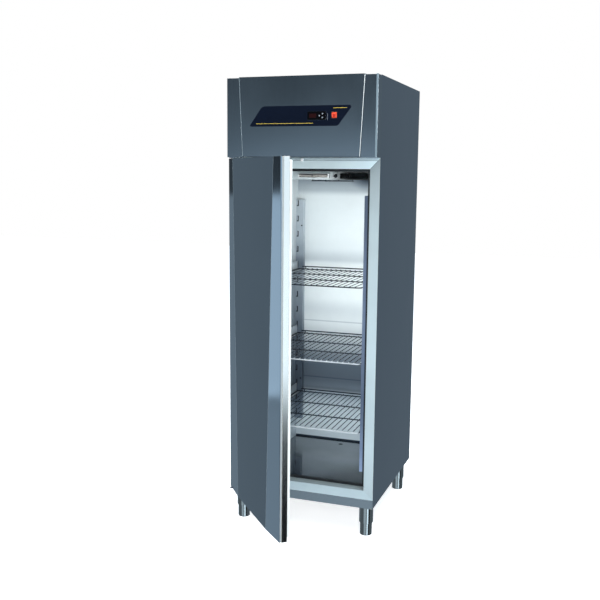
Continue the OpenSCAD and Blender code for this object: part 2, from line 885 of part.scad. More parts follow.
module shelf_upper() { shelf(shelf_heights[0]); }
module shelf_middle() { shelf(shelf_heights[1]); }
module shelf_lower() { shelf(shelf_heights[2]); }

// The evaporator unit in the ceiling

module evaporator_cover() {
    x = niche_hw + cover_lip;
    t = cover_t;
    vent_l = 5;
    edge = 6;
    color(steel) difference() {
        union() {
            difference() {
                block([-x, cover_y0, cover_z], [x, cover_y1, ceiling_z]);
                block([t - x, cover_y0 + t, cover_z + t], [x - t, cover_y1 - t, ceiling_z + eps]);
            }
            translate([vent_x, cover_y0 + t, vent_z])
                rotate([90, 0, 0]) cylinder(r = vent_r, h = t + vent_l);
        }
        translate([0, evap_y, cover_z - eps]) cylinder(r = evap_hole_r, h = t + 2 * eps);
        translate([vent_x, cover_y0 + t + eps, vent_z])
            rotate([90, 0, 0]) cylinder(r = vent_r - 3, h = t + vent_l + 2 * eps);
        block([vent_x + vent_r + 8, cover_y0 - eps, cover_z + edge],
            [x - 25, cover_y0 + t + eps, ceiling_z - edge]);
    }
}

module fan_guard() {
    outer = evap_hole_r + 4;
    leg_r = guard_wire_r + 1;
    spoke_z = 1.4 * guard_wire_r;
    z = cover_z - guard_drop;
    color(steel) translate([0, evap_y, z]) {
        for (ring = [outer : -guard_pitch : guard_pitch]) rotate_extrude()
            translate([ring, 0]) circle(r = guard_wire_r, $fn = 16);
        for (a = [0 : 90 : 270]) rotate(a) {
            bar([guard_pitch / 2, 0, spoke_z], [outer, 0, spoke_z], guard_wire_r);
            translate([outer, 0, -leg_r]) cylinder(r = leg_r, h = guard_drop + leg_r);
        }
    }
}

module evaporator_fan() {
    color(plastic) translate([0, evap_y, evap_fan_z])
        fan(evap_fan_r, evap_hub_r, fan_depth, blade_count, shaft_r);
}

// A fan's shaft, from the hub's free end into the motor
module fan_shaft() {
    cylinder(r = shaft_r - fit, h = motor_clear + shaft_grip);
}

module evaporator_motor() {
    z = evap_fan_z + motor_clear;
    arm_wire = 3;
    color(plastic) translate([0, evap_y, 0]) {
        translate([0, 0, z]) cylinder(r = evap_motor_r, h = coil_top - motor_head - z);
        spider([90, 210, 330], evap_motor_r, evap_arm_r, z + 2 * arm_wire, cover_z + cover_t,
            arm_wire);
        translate([0, 0, evap_fan_z - fan_depth / 2]) fan_shaft();
    }
}

module evaporator_coil() {
    bend_room = 22;
    x = niche_hw - bend_room;
    z0 = coil_top - evap_coil_h;
    rows = 3;
    runs = 4;
    color("silver") {
        block([-x, coil_y0, z0], [x, niche_y1 - liner_t, coil_top]);
        for (row = [0 : rows - 1])
            translate([0, coil_y0, z0 + evap_coil_h * (row + 0.5) / rows])
                rotate([-90, 0, 0]) serpentine(x, runs, evap_coil_d / runs);
    }
}

module interior_lamp() {
    x0 = lamp_x - lamp_w / 2;
    x1 = lamp_x + lamp_w / 2;
    y = cover_y0;
    z = vent_z;
    cap = 8;
    plate = 3;
    color("white") {
        block([x0, y - lamp_d, z - lamp_h / 2], [x0 + cap, y, z + lamp_h / 2]);
        block([x1 - cap, y - lamp_d, z - lamp_h / 2], [x1, y, z + lamp_h / 2]);
        block([x0, y - plate, z - lamp_h / 2], [x1, y, z + lamp_h / 2]);
        bar([x0 + cap / 2, y - lamp_d / 2, z], [x1 - cap / 2, y - lamp_d / 2, z], lamp_d / 2 - 1);
    }
}

module door_sensor() {
    z1 = door_z1 + 1;
    side = 8;
    color("white")
        block([sensor_x, front_y - side, z1 - sensor_h], [sensor_x + side, front_y, z1]);
}

// The header

module header_shell() {
    x = half_w;
    t = header_t;
    z1 = top_z - strip_drop;
    lug = flap_axis;
    color(slate) {
        difference() {
            block([-x, strip_y, header_z], [x, front_y + frame_t, z1]);
            block([t - x, strip_y + t, header_z + t], [x - t, front_y + frame_t + eps, z1 + eps]);
            block([t - x, front_y, header_z - eps], [x - t, front_y + frame_t + eps, z1 + eps]);
            facing(strip_y - eps, t + 2 * eps) polygon([
                [-flat_at(header_z) - flap_gap, header_z + t],
                [flat_at(header_z) + flap_gap, header_z + t],
                [flat_at(z1) + flap_gap, z1 + eps], [-flat_at(z1) - flap_gap, z1 + eps]]);
        }
        both_sides() difference() {
            block([lug_x, strip_y + t, lug[2] - 2 * lug_r],
                [lug_x + lug_t, lug[1] + lug_r, lug[2] + lug_r]);
            translate([lug_x - eps, lug[1], lug[2]]) rotate([0, 90, 0])
                cylinder(r = flap_pin_r + fit, h = lug_t + 2 * eps);
        }
    }
}

module flap_outline(g, z0, z1) {
    polygon([
        [-flat_at(z0) + g, z0 + g], [flat_at(z0) - g, z0 + g],
        [flat_at(z1) - g, z1 - g], [-flat_at(z1) + g, z1 - g]]);
}

module header_flap() {
    t = header_t;
    z0 = flap_z0;
    pin_x = flat_at(top_z);
    pin_root = 3;
    pin_l = pin_root + lug_x - pin_x + lug_t + 1;
    color(slate) {
        difference() {
            facing(face_y, flap_d) flap_outline(0, z0, top_z);
            facing(face_y + t, flap_d) flap_outline(t, z0, top_z);
            facing(face_y - eps, t + 2 * eps) {
                control_cut(display_x, fascia_mid, display_w - bezel, display_h - bezel, cut_gap);
                control_cut(rocker_x, rocker_z, housing_w, housing_h, cut_gap);
            }
        }
        both_sides() translate([pin_x - pin_root, flap_axis[1], flap_axis[2]])
            rotate([0, 90, 0]) cylinder(r = flap_pin_r, h = pin_l);
    }
}

module control_cut(x, z, w, h, g) {
    rectangle([x - w / 2 - g, z - h / 2 - g], [x + w / 2 + g, z + h / 2 + g]);
}

// The slanted plate with its rounded upper left corner: its four ends from the middle of the
// header, the radius and place of the rounded corner, and the small cuts at the other corners
fascia_left = 226;
fascia_right = 230;
fascia_foot = 174;
fascia_corner = 30;
fascia_bend = 162;
fascia_ease = 8;
fascia_step = 4;
fascia_nose = 10;
fascia_lift = 6;
module fascia_outline() {
    z0 = fascia_mid - fascia_h / 2;
    z1 = fascia_mid + fascia_h / 2;
    far_left = -fascia_left - fascia_ease;
    polygon(concat(
        [[-fascia_left, z0], [fascia_foot - fascia_ease, z0], [fascia_foot, z0 + fascia_step],
            [fascia_right, z1 - fascia_nose], [fascia_right - fascia_step, z1]],
        [for (a = [90 : 10 : 140]) [fascia_corner * cos(a) - fascia_bend,
            z1 - fascia_corner + fascia_corner * sin(a)]],
        [[far_left - fascia_step / 4, z0 + fascia_lift], [far_left, z0 + fascia_step / 2]]));
}

module control_fascia() {
    color([0.03, 0.08, 0.16]) facing(face_y - fascia_t, fascia_t) difference() {
        fascia_outline();
        control_cut(display_x, fascia_mid, display_w, display_h, cut_gap);
        control_cut(rocker_x, rocker_z, housing_w, housing_h, cut_gap);
    }
}

module key_places() {
    translate([key_x - key_step, 0, fascia_mid]) children(0);
    translate([key_x, 0, fascia_mid + key_rise]) children(1);
    translate([key_x, 0, fascia_mid - key_rise]) children(2);
}

module display_unit() {
    w = display_w - bezel;
    h = display_h - bezel;
    front = face_y - fascia_t - 0.4;
    color(plastic) difference() {
        union() {
            block([display_x - display_w / 2, front, fascia_mid - display_h / 2],
                [display_x + display_w / 2, face_y, fascia_mid + display_h / 2]);
            block([display_x - w / 2, face_y, fascia_mid - h / 2],
                [display_x + w / 2, face_y + display_d, fascia_mid + h / 2]);
        }
        key_places() {
            key_bore();
            key_bore();
            key_bore();
        }
    }
}

module key_bore() {
    translate([0, key_front + key_l + key_travel + 0.4, 0]) rotate([90, 0, 0])
        cylinder(r = key_r + fit, h = 2 * key_l);
}

module key() {
    color([0.8, 0.8, 0.8]) translate([0, key_front + key_l, 0]) rotate([90, 0, 0])
        cylinder(r = key_r, h = key_l);
}

module nothing() {}

module key_set() {
    key_places() {
        key();
        nothing();
        nothing();
    }
}

module key_up() {
    key_places() {
        nothing();
        key();
        nothing();
    }
}

module key_down() {
    key_places() {
        nothing();
        nothing();
        key();
    }
}

module switch_housing() {
    w = housing_w;
    h = housing_h;
    front = face_y - fascia_t - 0.5;
    d = 22;
    color(plastic) difference() {
        facing(front, d) control_cut(rocker_x, rocker_z, w, h, 0);
        facing(front - eps, d - housing_t + eps)
            control_cut(rocker_x, rocker_z, w, h, -housing_t);
        translate([rocker_x - w, rocker_y, rocker_z]) rotate([0, 90, 0])
            cylinder(r = rocker_pin_r + fit, h = 2 * w);
    }
}

// The rocker lies tilted at one end of its travel
module power_switch() {
    translate([0, rocker_y, rocker_z]) rotate([rocker_tilt, 0, 0])
        translate([0, -rocker_y, -rocker_z]) rocker();
}

module rocker() {
    w = rocker_w;
    bow = 30;
    color([1, 0.3, 0.08]) {
        intersection() {
            block([rocker_x - w / 2, face_y - fascia_t - 1, rocker_z - rocker_h / 2],
                [rocker_x + w / 2, rocker_y + 4, rocker_z + rocker_h / 2]);
            translate([rocker_x - w, face_y - fascia_t - 1 + bow, rocker_z]) rotate([0, 90, 0])
                cylinder(r = bow, h = 2 * w, $fn = 96);
        }
        translate([rocker_x - w / 2 - rocker_gap - housing_t, rocker_y, rocker_z])
            rotate([0, 90, 0])
                cylinder(r = rocker_pin_r, h = w + 2 * rocker_gap + 2 * housing_t);
    }
}

// The motor space

module condenser_coil() {
    runs = 8;
    color("silver") translate([cond_x, 0, floor_deck]) {
        block([-cond_w / 2, cond_y0, 0], [cond_w / 2, shroud_y0, cond_h]);
        translate([0, cond_y0 + cond_d / 2, 0]) serpentine(cond_w / 2, runs, cond_h / runs);
    }
}

module fan_shroud() {
    x0 = cond_x - cond_w / 2;
    x1 = cond_x + cond_w / 2;
    t = 1.5;
    z1 = floor_deck + cond_h;
    color(steel) difference() {
        block([x0, shroud_y0, floor_deck], [x1, shroud_y1, z1]);
        block([x0 + t, shroud_y0 - eps, floor_deck + t], [x1 - t, shroud_y1 - t, z1 - t]);
        translate([cond_x, shroud_y1 + eps, cond_z]) rotate([90, 0, 0])
            cylinder(r = cond_hole_r, h = t + 2 * eps);
    }
}

module condenser_fan() {
    color("silver") translate([cond_x, cond_fan_y, cond_z]) rotate([90, 0, 0])
        fan(cond_fan_r, cond_hub_r, fan_depth, blade_count, shaft_r);
}

module condenser_motor() {
    y0 = cond_fan_y + motor_clear;
    arm_wire = 4;
    color(plastic) translate([cond_x, 0, cond_z]) rotate([-90, 0, 0]) {
        translate([0, 0, y0]) cylinder(r = cond_motor_r, h = cond_motor_l);
        spider([45 : 90 : 315], cond_motor_r, cond_arm_r, y0 + 3 * arm_wire, shroud_y1, arm_wire);
        translate([0, 0, cond_fan_y - fan_depth / 2]) fan_shaft();
    }
}

module compressor() {
    r = comp_r;
    h = comp_h;
    rim = 14;
    dome = 34;
    seam_z = 0.55 * h;
    seam = 4;
    plate_t = 3;
    plate = [r + 15, 70];
    bolt = [r + 2, 56];
    stud_r = 6;
    cover = [42, 34];
    cover_z0 = comp_lift + 60;
    cover_z1 = comp_lift + 130;
    color(plastic) translate(comp_at) {
        translate([0, 0, comp_lift]) rotate_extrude() polygon(concat(
            [[0, 0], [r - rim, 0]],
            [for (a = [0 : 15 : 90]) [r - rim + rim * sin(a), rim - rim * cos(a)]],
            [[r, seam_z], [r + seam, seam_z + 3], [r + seam, seam_z + 9], [r, seam_z + 12]],
            [for (a = [0 : 10 : 90]) [r * cos(a), h - dome + dome * sin(a)]]));
        difference() {
            block([-plate[0], -plate[1], comp_lift - plate_t], [plate[0], plate[1], comp_lift]);
            at_bolts(bolt) translate([0, 0, comp_lift - plate_t - eps])
                cylinder(r = stud_r + 0.3, h = plate_t + 2 * eps);
        }
        block([r - 8, -cover[1], cover_z0], [r + cover[0], cover[1], cover_z1]);
        at_bolts(bolt) {
            cylinder(r = 2 * stud_r, h = comp_lift - plate_t);
            cylinder(r = stud_r, h = comp_lift + 8);
        }
    }
}

module at_bolts(place) {
    for (x = [-1, 1], y = [-1, 1]) translate([x * place[0], y * place[1], 0]) children();
}

// Hot gas line, suction line, and the liquid line with its filter-drier
module refrigerant_pipes() {
    r = pipe_r;
    c = comp_at;
    top = [c[0], c[1], c[2] + comp_lift + comp_h];
    low_z = floor_deck + 40;
    loop_z = floor_deck + cond_h + 16;
    inlet = [cond_x + cond_w / 2 - 20, cond_y0 + 20, floor_deck + cond_h];
    outlet = [cond_x + cond_w / 2, cond_y0 + 12, floor_deck + 20];
    side_x = outlet[0] + 28;
    suction_z = c[2] + comp_lift + 60;
    drier = [cond_x + 40, shroud_y1 + 150, low_z];
    drier_r = 13;
    drier_l = 100;
    drier_end = drier_l / 2 - 1;
    turn_x = drop_x[0] - 80;
    block_w = 4;
    block_at = 30;
    color(copper) {
        piping([
            top, [top[0], top[1], loop_z], [inlet[0], top[1], loop_z],
            [inlet[0], inlet[1], loop_z], inlet], r);
        piping([
            [c[0] - comp_r - weld_gap, c[1], suction_z], [drop_x[1], c[1], suction_z],
            [drop_x[1], drop_y, suction_z], [drop_x[1], drop_y, coil_top]], r);
        piping([
            outlet, [side_x, outlet[1], outlet[2]], [side_x, outlet[1], low_z],
            [side_x, drier[1], low_z], drier + [drier_end, 0, 0]], r);
        bar(drier - [drier_l / 2, 0, 0], drier + [drier_l / 2, 0, 0], drier_r);
        piping([
            drier - [drier_end, 0, 0], [turn_x, drier[1], low_z], [turn_x, drop_y, low_z],
            [drop_x[0], drop_y, low_z], [drop_x[0], drop_y, coil_top]], r);
        for (s = [-1, 1]) block(
            [drier[0] + s * block_at - block_w, drier[1] - block_w, floor_deck],
            [drier[0] + s * block_at + block_w, drier[1] + block_w, low_z]);
    }
}

module control_box() {
    x1 = half_w - 30;
    y1 = back_y - 30;
    lid_h = 8;
    rim = 2;
    color([0.75, 0.76, 0.76]) {
        block([x1 - box_w, y1 - box_d, floor_deck], [x1, y1, floor_deck + box_h - lid_h]);
        block([x1 - box_w - rim, y1 - box_d - rim, floor_deck + box_h - lid_h],
            [x1 + rim, y1 + rim, floor_deck + box_h]);
    }
}

module rear_grille() {
    x = half_w - sheet;
    z0 = floor_deck;
    louvre = [210, 9];
    louvre_x = 130;
    louvre_z0 = z0 + 45;
    pitch = (motor_space_h - 60) / louvre_count;
    entry_z = z0 + 40;
    entry_x = half_w - 60;
    color(steel) difference() {
        union() {
            block([-x, back_y - sheet, z0], [x, back_y, top_z - sheet]);
            translate([entry_x, back_y - sheet + eps, entry_z]) rotate([90, 0, 0])
                cylinder(r = entry_r + 3, h = entry_l - sheet + eps);
        }
        translate([entry_x, back_y + eps, entry_z]) rotate([90, 0, 0])
            cylinder(r = entry_r, h = entry_l + 2 * eps);
        for (s = [-1, 1], i = [0 : louvre_count - 1])
            translate([s * louvre_x - louvre[0] / 2, back_y - sheet - eps, louvre_z0 + i * pitch])
                cube([louvre[0], sheet + 2 * eps, louvre[1]]);
    }
}

// The door, drawn closed and turned open about its pins

module swung() {
    translate([hinge_x, hinge_y, 0]) rotate(-door_open) translate([-hinge_x, -hinge_y, 0])
        children();
}

// A cutting block whose near face is the door's left or right facet, moved in by g
module facet_cut(s, g) {
    run = door_hw;
    zmid = (door_z0 + door_z1) / 2;
    mirror([s < 0 ? 1 : 0, 0, 0])
        translate([flat_at(zmid), face_y + g, zmid])
            rotate([0, atan(flat_taper), 0]) rotate([0, 0, atan(facet_slope)])
                translate([-50, -40, -door_z1]) cube([run, 40, 2 * door_z1]);
}

// The door's outer body, moved in by g, from its face to the depth y1
module door_slab(g, y1) {
    difference() {
        block([g - door_hw, face_y + g, door_z0 + g], [door_hw - g, y1, door_z1 - g]);
        facet_cut(1, g);
        facet_cut(-1, g);
    }
}

module bush_places() {
    translate([hinge_x, hinge_y, door_z1]) children();
    translate([hinge_x, hinge_y, door_z0]) mirror([0, 0, 1]) children();
}

module bush_hole() {
    translate([0, 0, -bush_h]) cylinder(r = bush_r, h = bush_h + eps);
}

module door_skin() {
    color(slate) swung() difference() {
        door_slab(0, trim_y0);
        door_slab(door_sheet, trim_y0 + eps);
    }
}

module door_rim(g, y, t) {
    facing(y, t) rectangle([g - door_hw, door_z0 + g], [door_hw - g, door_z1 - g]);
}

module door_edge_trim() {
    color(plastic) swung() difference() {
        door_rim(trim_sink, trim_y0, trim_d);
        door_rim(trim_sink + trim_w, trim_y0 - eps, trim_d + 2 * eps);
        bush_places() bush_hole();
    }
}

module door_foam() {
    t = door_sheet;
    color([0.9, 0.85, 0.6]) swung() difference() {
        union() {
            door_slab(t, trim_y0);
            door_rim(trim_sink + trim_w, trim_y0, trim_d);
            door_rim(t, trim_y1, door_y1 - t - trim_y1);
            door_rim(plug_inset + t, door_y1 - t, plug_d);
        }
        bush_places() bush_hole();
    }
}

module door_liner() {
    t = door_sheet;
    color(steel) swung() difference() {
        union() {
            door_rim(0, trim_y1, door_y1 - trim_y1);
            door_rim(plug_inset, door_y1, plug_d);
        }
        door_rim(t, trim_y1 - eps, door_y1 - t - trim_y1 + eps);
        door_rim(plug_inset + t, door_y1 - t - eps, plug_d + eps);
        bush_places() bush_hole();
    }
}

module door_gasket() {
    color("white") swung() difference() {
        door_rim(gasket_inset, door_y1, gasket_y1 - door_y1);
        door_rim(gasket_inset + gasket_w, door_y1 - eps, gasket_y1 - door_y1 + 2 * eps);
        for (g = [gasket_inset + gasket_w / 3, gasket_inset + gasket_w * 2 / 3])
            facing(gasket_y1 - 3, 3 + eps) difference() {
                rectangle([g - 1 - door_hw, door_z0 + g - 1], [door_hw - g + 1, door_z1 - g + 1]);
                rectangle([g + 1 - door_hw, door_z0 + g + 1], [door_hw - g - 1, door_z1 - g - 1]);
            }
    }
}

module door_bushes() {
    color("white") swung() bush_places() difference() {
        union() {
            translate([0, 0, -bush_h]) cylinder(r = bush_r, h = bush_h);
            cylinder(r = bush_r + bush_rim, h = bush_flange);
        }
        translate([0, 0, -bush_h + 1.5]) cylinder(r = hinge_pin_r + fit, h = bush_h + 10);
    }
}

// A flat bracket with its pin pointing along -Z and its upper face at z = 0
module hinge_bracket(pin_l) {
    leg = 15;
    leg_t = 4;
    nose = 14;
    w = bracket_w / 2;
    color(plastic) {
        block([hinge_x - w, hinge_y - nose, -bracket_t], [hinge_x + w, front_y, 0]);
        block([hinge_x - w, front_y - leg_t, -leg], [hinge_x + w, front_y, 0]);
        translate([hinge_x, hinge_y, -bracket_t - pin_l]) cylinder(r = hinge_pin_r, h = pin_l);
    }
}

module hinge_bracket_upper() {
    gap = door_top_gap - bracket_t;
    translate([0, 0, header_z]) hinge_bracket(gap + hinge_pin_l);
}

module hinge_bracket_lower() {
    gap = 0.3;
    translate([0, 0, door_z0 - bush_flange - gap - bracket_t]) mirror([0, 0, 1])
        hinge_bracket(bush_flange + gap + hinge_pin_l);
}

side_panel_left();
side_panel_right();
back_panel();
base_tray();
deck_panel();
insulation();
liner_sides();
liner_back();
liner_ceiling();
floor_pan();
breaker_strip();
frame_stiles();
frame_rails();
drain_pipe();
leg_sockets();
foot_front_left();
foot_front_right();
foot_rear_left();
foot_rear_right();
uprights_front();
uprights_rear();
upright_screws();
runners_upper();
runners_middle();
runners_lower();
shelf_upper();
shelf_middle();
shelf_lower();
evaporator_cover();
fan_guard();
evaporator_fan();
evaporator_motor();
evaporator_coil();
interior_lamp();
door_sensor();
header_shell();
header_flap();
control_fascia();
display_unit();
key_set();
key_up();
key_down();
switch_housing();
power_switch();
condenser_coil();
fan_shroud();
condenser_motor();
condenser_fan();
compressor();
refrigerant_pipes();
control_box();
rear_grille();
door_skin();
door_edge_trim();
door_foam();
door_liner();
door_gasket();
door_bushes();
hinge_bracket_upper();
hinge_bracket_lower();
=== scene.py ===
# %% [markdown]
# # An upright refrigerated cabinet, dressed for its portrait
# The construction drawing gives every sheet, wire and hinge of the cabinet its true shape and size.
# This lesson loads it as a fixed frame and adds what a drawing can't show: the finishes of the
# steel, the moulded rubber, the bent pipes, and the studio that they stand in.

# %% Load the frame
import json
import math

import bmesh
import bpy
from mathutils import Matrix, Vector


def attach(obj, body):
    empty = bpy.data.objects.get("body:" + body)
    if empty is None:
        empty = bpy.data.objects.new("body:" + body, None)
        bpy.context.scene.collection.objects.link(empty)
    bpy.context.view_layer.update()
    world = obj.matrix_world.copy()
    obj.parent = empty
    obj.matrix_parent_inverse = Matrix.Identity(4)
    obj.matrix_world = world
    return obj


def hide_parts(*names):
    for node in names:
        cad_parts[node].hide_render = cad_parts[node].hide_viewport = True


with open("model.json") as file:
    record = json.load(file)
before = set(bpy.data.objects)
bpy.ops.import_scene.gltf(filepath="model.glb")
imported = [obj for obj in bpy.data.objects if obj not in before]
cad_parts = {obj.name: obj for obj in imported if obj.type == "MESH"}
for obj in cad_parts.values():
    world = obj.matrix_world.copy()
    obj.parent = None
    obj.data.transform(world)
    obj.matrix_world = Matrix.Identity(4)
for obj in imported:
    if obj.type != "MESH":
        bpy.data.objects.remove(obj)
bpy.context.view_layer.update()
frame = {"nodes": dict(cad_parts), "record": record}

nodes = frame["nodes"]
MM = 0.001

# %% [markdown]
# ## The camera
# The camera's place and angles were worked out by matching the corners of the casing. A real
# camera is turned by its yaw, pitch and roll, and so is this one: its matrix is built from three
# unit vectors, which is exact and easy to check, where setting Euler angles by eye is neither.

# %% Place the camera
CAMERA_PLACE = Vector((1.2758, -3.9525, 1.6455))
YAW, PITCH, ROLL = (math.radians(a) for a in (19.713, 8.391, 0.543))
LENS, SENSOR = 51.08, 36.0


def camera_turn(yaw, pitch, roll):
    """The camera's right, up and backward directions as the columns of a matrix."""
    level = Vector((-math.sin(yaw), math.cos(yaw), 0))
    side = Vector((math.cos(yaw), math.sin(yaw), 0))
    up = Vector((0, 0, 1))
    ahead = level * math.cos(pitch) - up * math.sin(pitch)
    above = up * math.cos(pitch) + level * math.sin(pitch)
    right = side * math.cos(roll) + above * math.sin(roll)
    top = above * math.cos(roll) - side * math.sin(roll)
    return Matrix((right, top, -ahead)).transposed()


camera_data = bpy.data.cameras.new("portrait_camera")
camera_data.lens = LENS
camera_data.sensor_width = SENSOR
camera_data.clip_end = 60
camera = bpy.data.objects.new("portrait_camera", camera_data)
camera.matrix_world = Matrix.Translation(CAMERA_PLACE) @ camera_turn(YAW, PITCH, ROLL).to_4x4()
bpy.context.scene.collection.objects.link(camera)
bpy.context.scene.camera = camera
print("camera with a", LENS, "mm lens")

# %% [markdown]
# ## Small tools for shader nodes
# Every finish below is a graph of shader nodes. Clicking them together by hand is fine for one
# material, but for twenty of them a helper that adds one node and wires it keeps each finish down
# to a few readable lines.

# %% A helper that adds one node


def shade(tree, kind, settings=None, wired=(), **inputs):
    """Adds a node. wired fills its sockets in order, inputs by name with _ for a space."""
    made = tree.nodes.new("ShaderNode" + kind)
    for name, value in (settings or {}).items():
        setattr(made, name, value)
    named = [(made.inputs[name.replace("_", " ")], value) for name, value in inputs.items()]
    for socket, value in list(zip(made.inputs, wired)) + named:
        if value is None:
            continue
        if isinstance(value, bpy.types.NodeSocket):
            tree.links.new(value, socket)
        else:
            socket.default_value = value
    return made.outputs


def spread(tree, value, low, high, start=0.0, end=1.0):
    """Maps a value from start..end to low..high, and keeps it there."""
    settings = {"interpolation_type": "SMOOTHSTEP"}
    return shade(tree, "MapRange", settings, (value, start, end, low, high))[0]


def maths(tree, operation, first, second):
    return shade(tree, "Math", {"operation": operation}, (first, second))[0]


def colour_mix(tree, factor, first, second, blend="MIX"):
    made = tree.nodes.new("ShaderNodeMix")
    made.data_type = "RGBA"
    made.blend_type = blend
    for index, value in ((0, factor), (6, first), (7, second)):
        if isinstance(value, bpy.types.NodeSocket):
            tree.links.new(value, made.inputs[index])
        else:
            made.inputs[index].default_value = value
    return made.outputs[2]


def tone(red, green, blue):
    """A screen colour of 0 to 255 a channel as the linear colour that shaders use."""
    def linear(c):
        c = c / 255
        return c / 12.92 if c <= 0.04045 else ((c + 0.055) / 1.055) ** 2.4
    return tuple(linear(c) for c in (red, green, blue)) + (1.0,)


print("shader helpers ready")

# %% [markdown]
# ## The studio
# Stainless steel has almost no colour of its own: it shows what stands round it. So the studio is
# made first. The world is plain white to the camera, like the paper behind a product, and to the
# steel it is a dim room with a few soft zones, brighter or darker, which give flat sheets their
# tone. The real studio is unknown. The zones were placed by working out, sheet by sheet, what each
# one mirrors from the portrait's camera, so from other sides the steel mirrors less well.

# %% The room that the steel mirrors
ROOM = 0.30
ROOM_TINT = (0.64, 0.83, 1.0, 1)
ZONES = (
    # what mirrors it, bearing from the front, half widths of its heart and of its whole, lowest
    # and highest elevation, softness (all in degrees), and the brightness that it adds
    ("header and frame", -5, 8.2, 25.2, -45, 1.0, 4.5, 0.95),
    ("free facet of the door", -106, 7.5, 11, -15, -1.45, 0.25, 1.0),
    ("free facet, foot", -106, 7.5, 11, -40, -15, 1.5, 0.3),
    ("free facet, top", -106, 7.5, 11, -1.45, 40, 0.25, -0.2),
    ("hinge facet of the door", -136, 7.5, 11.5, -40, -1.45, 0.25, 0.1),
    ("hinge facet, top", -136, 7.5, 11.5, -1.45, 40, 0.25, -0.21),
    ("free edge of the door", 61, 14, 20, -15, 35, 1.6, 1.12),
    ("free edge, foot", 61, 14, 20, -40, -16.2, 1.2, -0.29),
    ("legs", 40, 8, 14, -40, -18, 1.0, 3.4),
    ("header, top", -19, 14, 24, 3.0, 40, 2.6, -0.12),
    ("side of the casing", 167, 20, 40, -60, 60, 5, -0.05),
    ("tops", 180, 180, 181, 50, 120, 12, 0.8),
)


def window(tree, value, low, high, soft):
    """1 while value lies between low and high, and 0 outside, with soft ends."""
    rise = spread(tree, value, 0.0, 1.0, low - soft, low + soft)
    fall = spread(tree, value, 1.0, 0.0, high - soft, high + soft)
    return maths(tree, "MULTIPLY", rise, fall)


def build_room():
    world = bpy.data.worlds.new("studio_room")
    world.use_nodes = True
    tree = world.node_tree
    tree.nodes.clear()
    ahead = shade(tree, "TexCoord")["Generated"]
    height = shade(tree, "SeparateXYZ", None, (ahead,))[2]
    climb = shade(tree, "Math", {"operation": "ARCSINE"}, (height,))[0]
    level = shade(tree, "VectorMath", {"operation": "MULTIPLY"}, (ahead, (1, 1, 0)))[0]
    level = shade(tree, "VectorMath", {"operation": "NORMALIZE"}, (level,))[0]
    light = ROOM
    for _, bearing, heart, edge, low, high, soft, gain in ZONES:
        bearing = math.radians(bearing)
        towards = Vector((math.sin(bearing), -math.cos(bearing), 0))
        dot = shade(tree, "VectorMath", {"operation": "DOT_PRODUCT"}, (level, towards))["Value"]
        across = spread(tree, dot, 0.0, gain, math.cos(math.radians(min(edge, 180))) - 0.001,
                        math.cos(math.radians(heart)))
        low, high, soft = (math.radians(a) for a in (low, high, soft))
        glow = maths(tree, "MULTIPLY", across, window(tree, climb, low, high, soft))
        light = maths(tree, "ADD", light, glow)
    room = shade(tree, "Background", Color=ROOM_TINT, Strength=light)[0]
    paper = shade(tree, "Background", Color=(1, 1, 1, 1), Strength=1.0)[0]
    seen = shade(tree, "LightPath")["Is Camera Ray"]
    out = shade(tree, "MixShader", None, (seen, room, paper))[0]
    shade(tree, "OutputWorld", Surface=out)
    bpy.context.scene.world = world


build_room()
bpy.context.scene.view_settings.view_transform = "Standard"
print("room with", len(ZONES), "soft zones")

# %% [markdown]
# Softboxes light the matt things: the floor, rubber, plastic and paint. Area lights are used and
# not point lights, because a large source gives the wide, soft shadows of a studio. Three panels
# inside the cavity, hidden from reflections, stand for the light that its walls throw about.

# %% Softboxes, outside and in
CAVITY_X, CAVITY_FRONT, CAVITY_BACK, CAVITY_WIDE = 0.12, -0.26, 0.35, 0.26


def softbox(name, place, target, size, watts, tint=(1, 1, 1), mirrored=True):
    lamp = bpy.data.lights.new(name, "AREA")
    lamp.shape = "RECTANGLE"
    lamp.size, lamp.size_y = size
    lamp.energy = watts
    lamp.color = tint
    box = bpy.data.objects.new(name, lamp)
    box.location = place
    box.rotation_euler = (Vector(target) - Vector(place)).to_track_quat("-Z", "Y").to_euler()
    box.visible_glossy = mirrored
    bpy.context.scene.collection.objects.link(box)


softbox("overhead_box", (0.2, -0.8, 4.8), (0, -0.3, 0), (4.5, 4.5), 280)
softbox("left_box", (-3.4, -3.0, 3.6), (0, -0.4, 1.0), (1.6, 1.6), 40)
softbox("flash_box", (1.15, -3.9, 2.15), (0.05, 0.2, 1.25), (0.7, 0.5), 30)
for name, height, tall, watts, tint in (
        ("cavity_top", 1.36, 0.34, 3.6, (0.96, 0.99, 1.0)),
        ("cavity_middle", 0.98, 0.24, 2.7, (0.91, 0.97, 1.0)),
        ("cavity_foot", 0.36, 0.1, 2.0, (0.66, 0.84, 1.0))):
    softbox(name, (CAVITY_X, CAVITY_FRONT, height), (0, CAVITY_BACK, height),
            (CAVITY_WIDE, tall), watts, tint, mirrored=False)
print("softboxes up")

# %% The pale floor
FLOOR_HALF = 14.0
PAPER_GLOW = 0.8


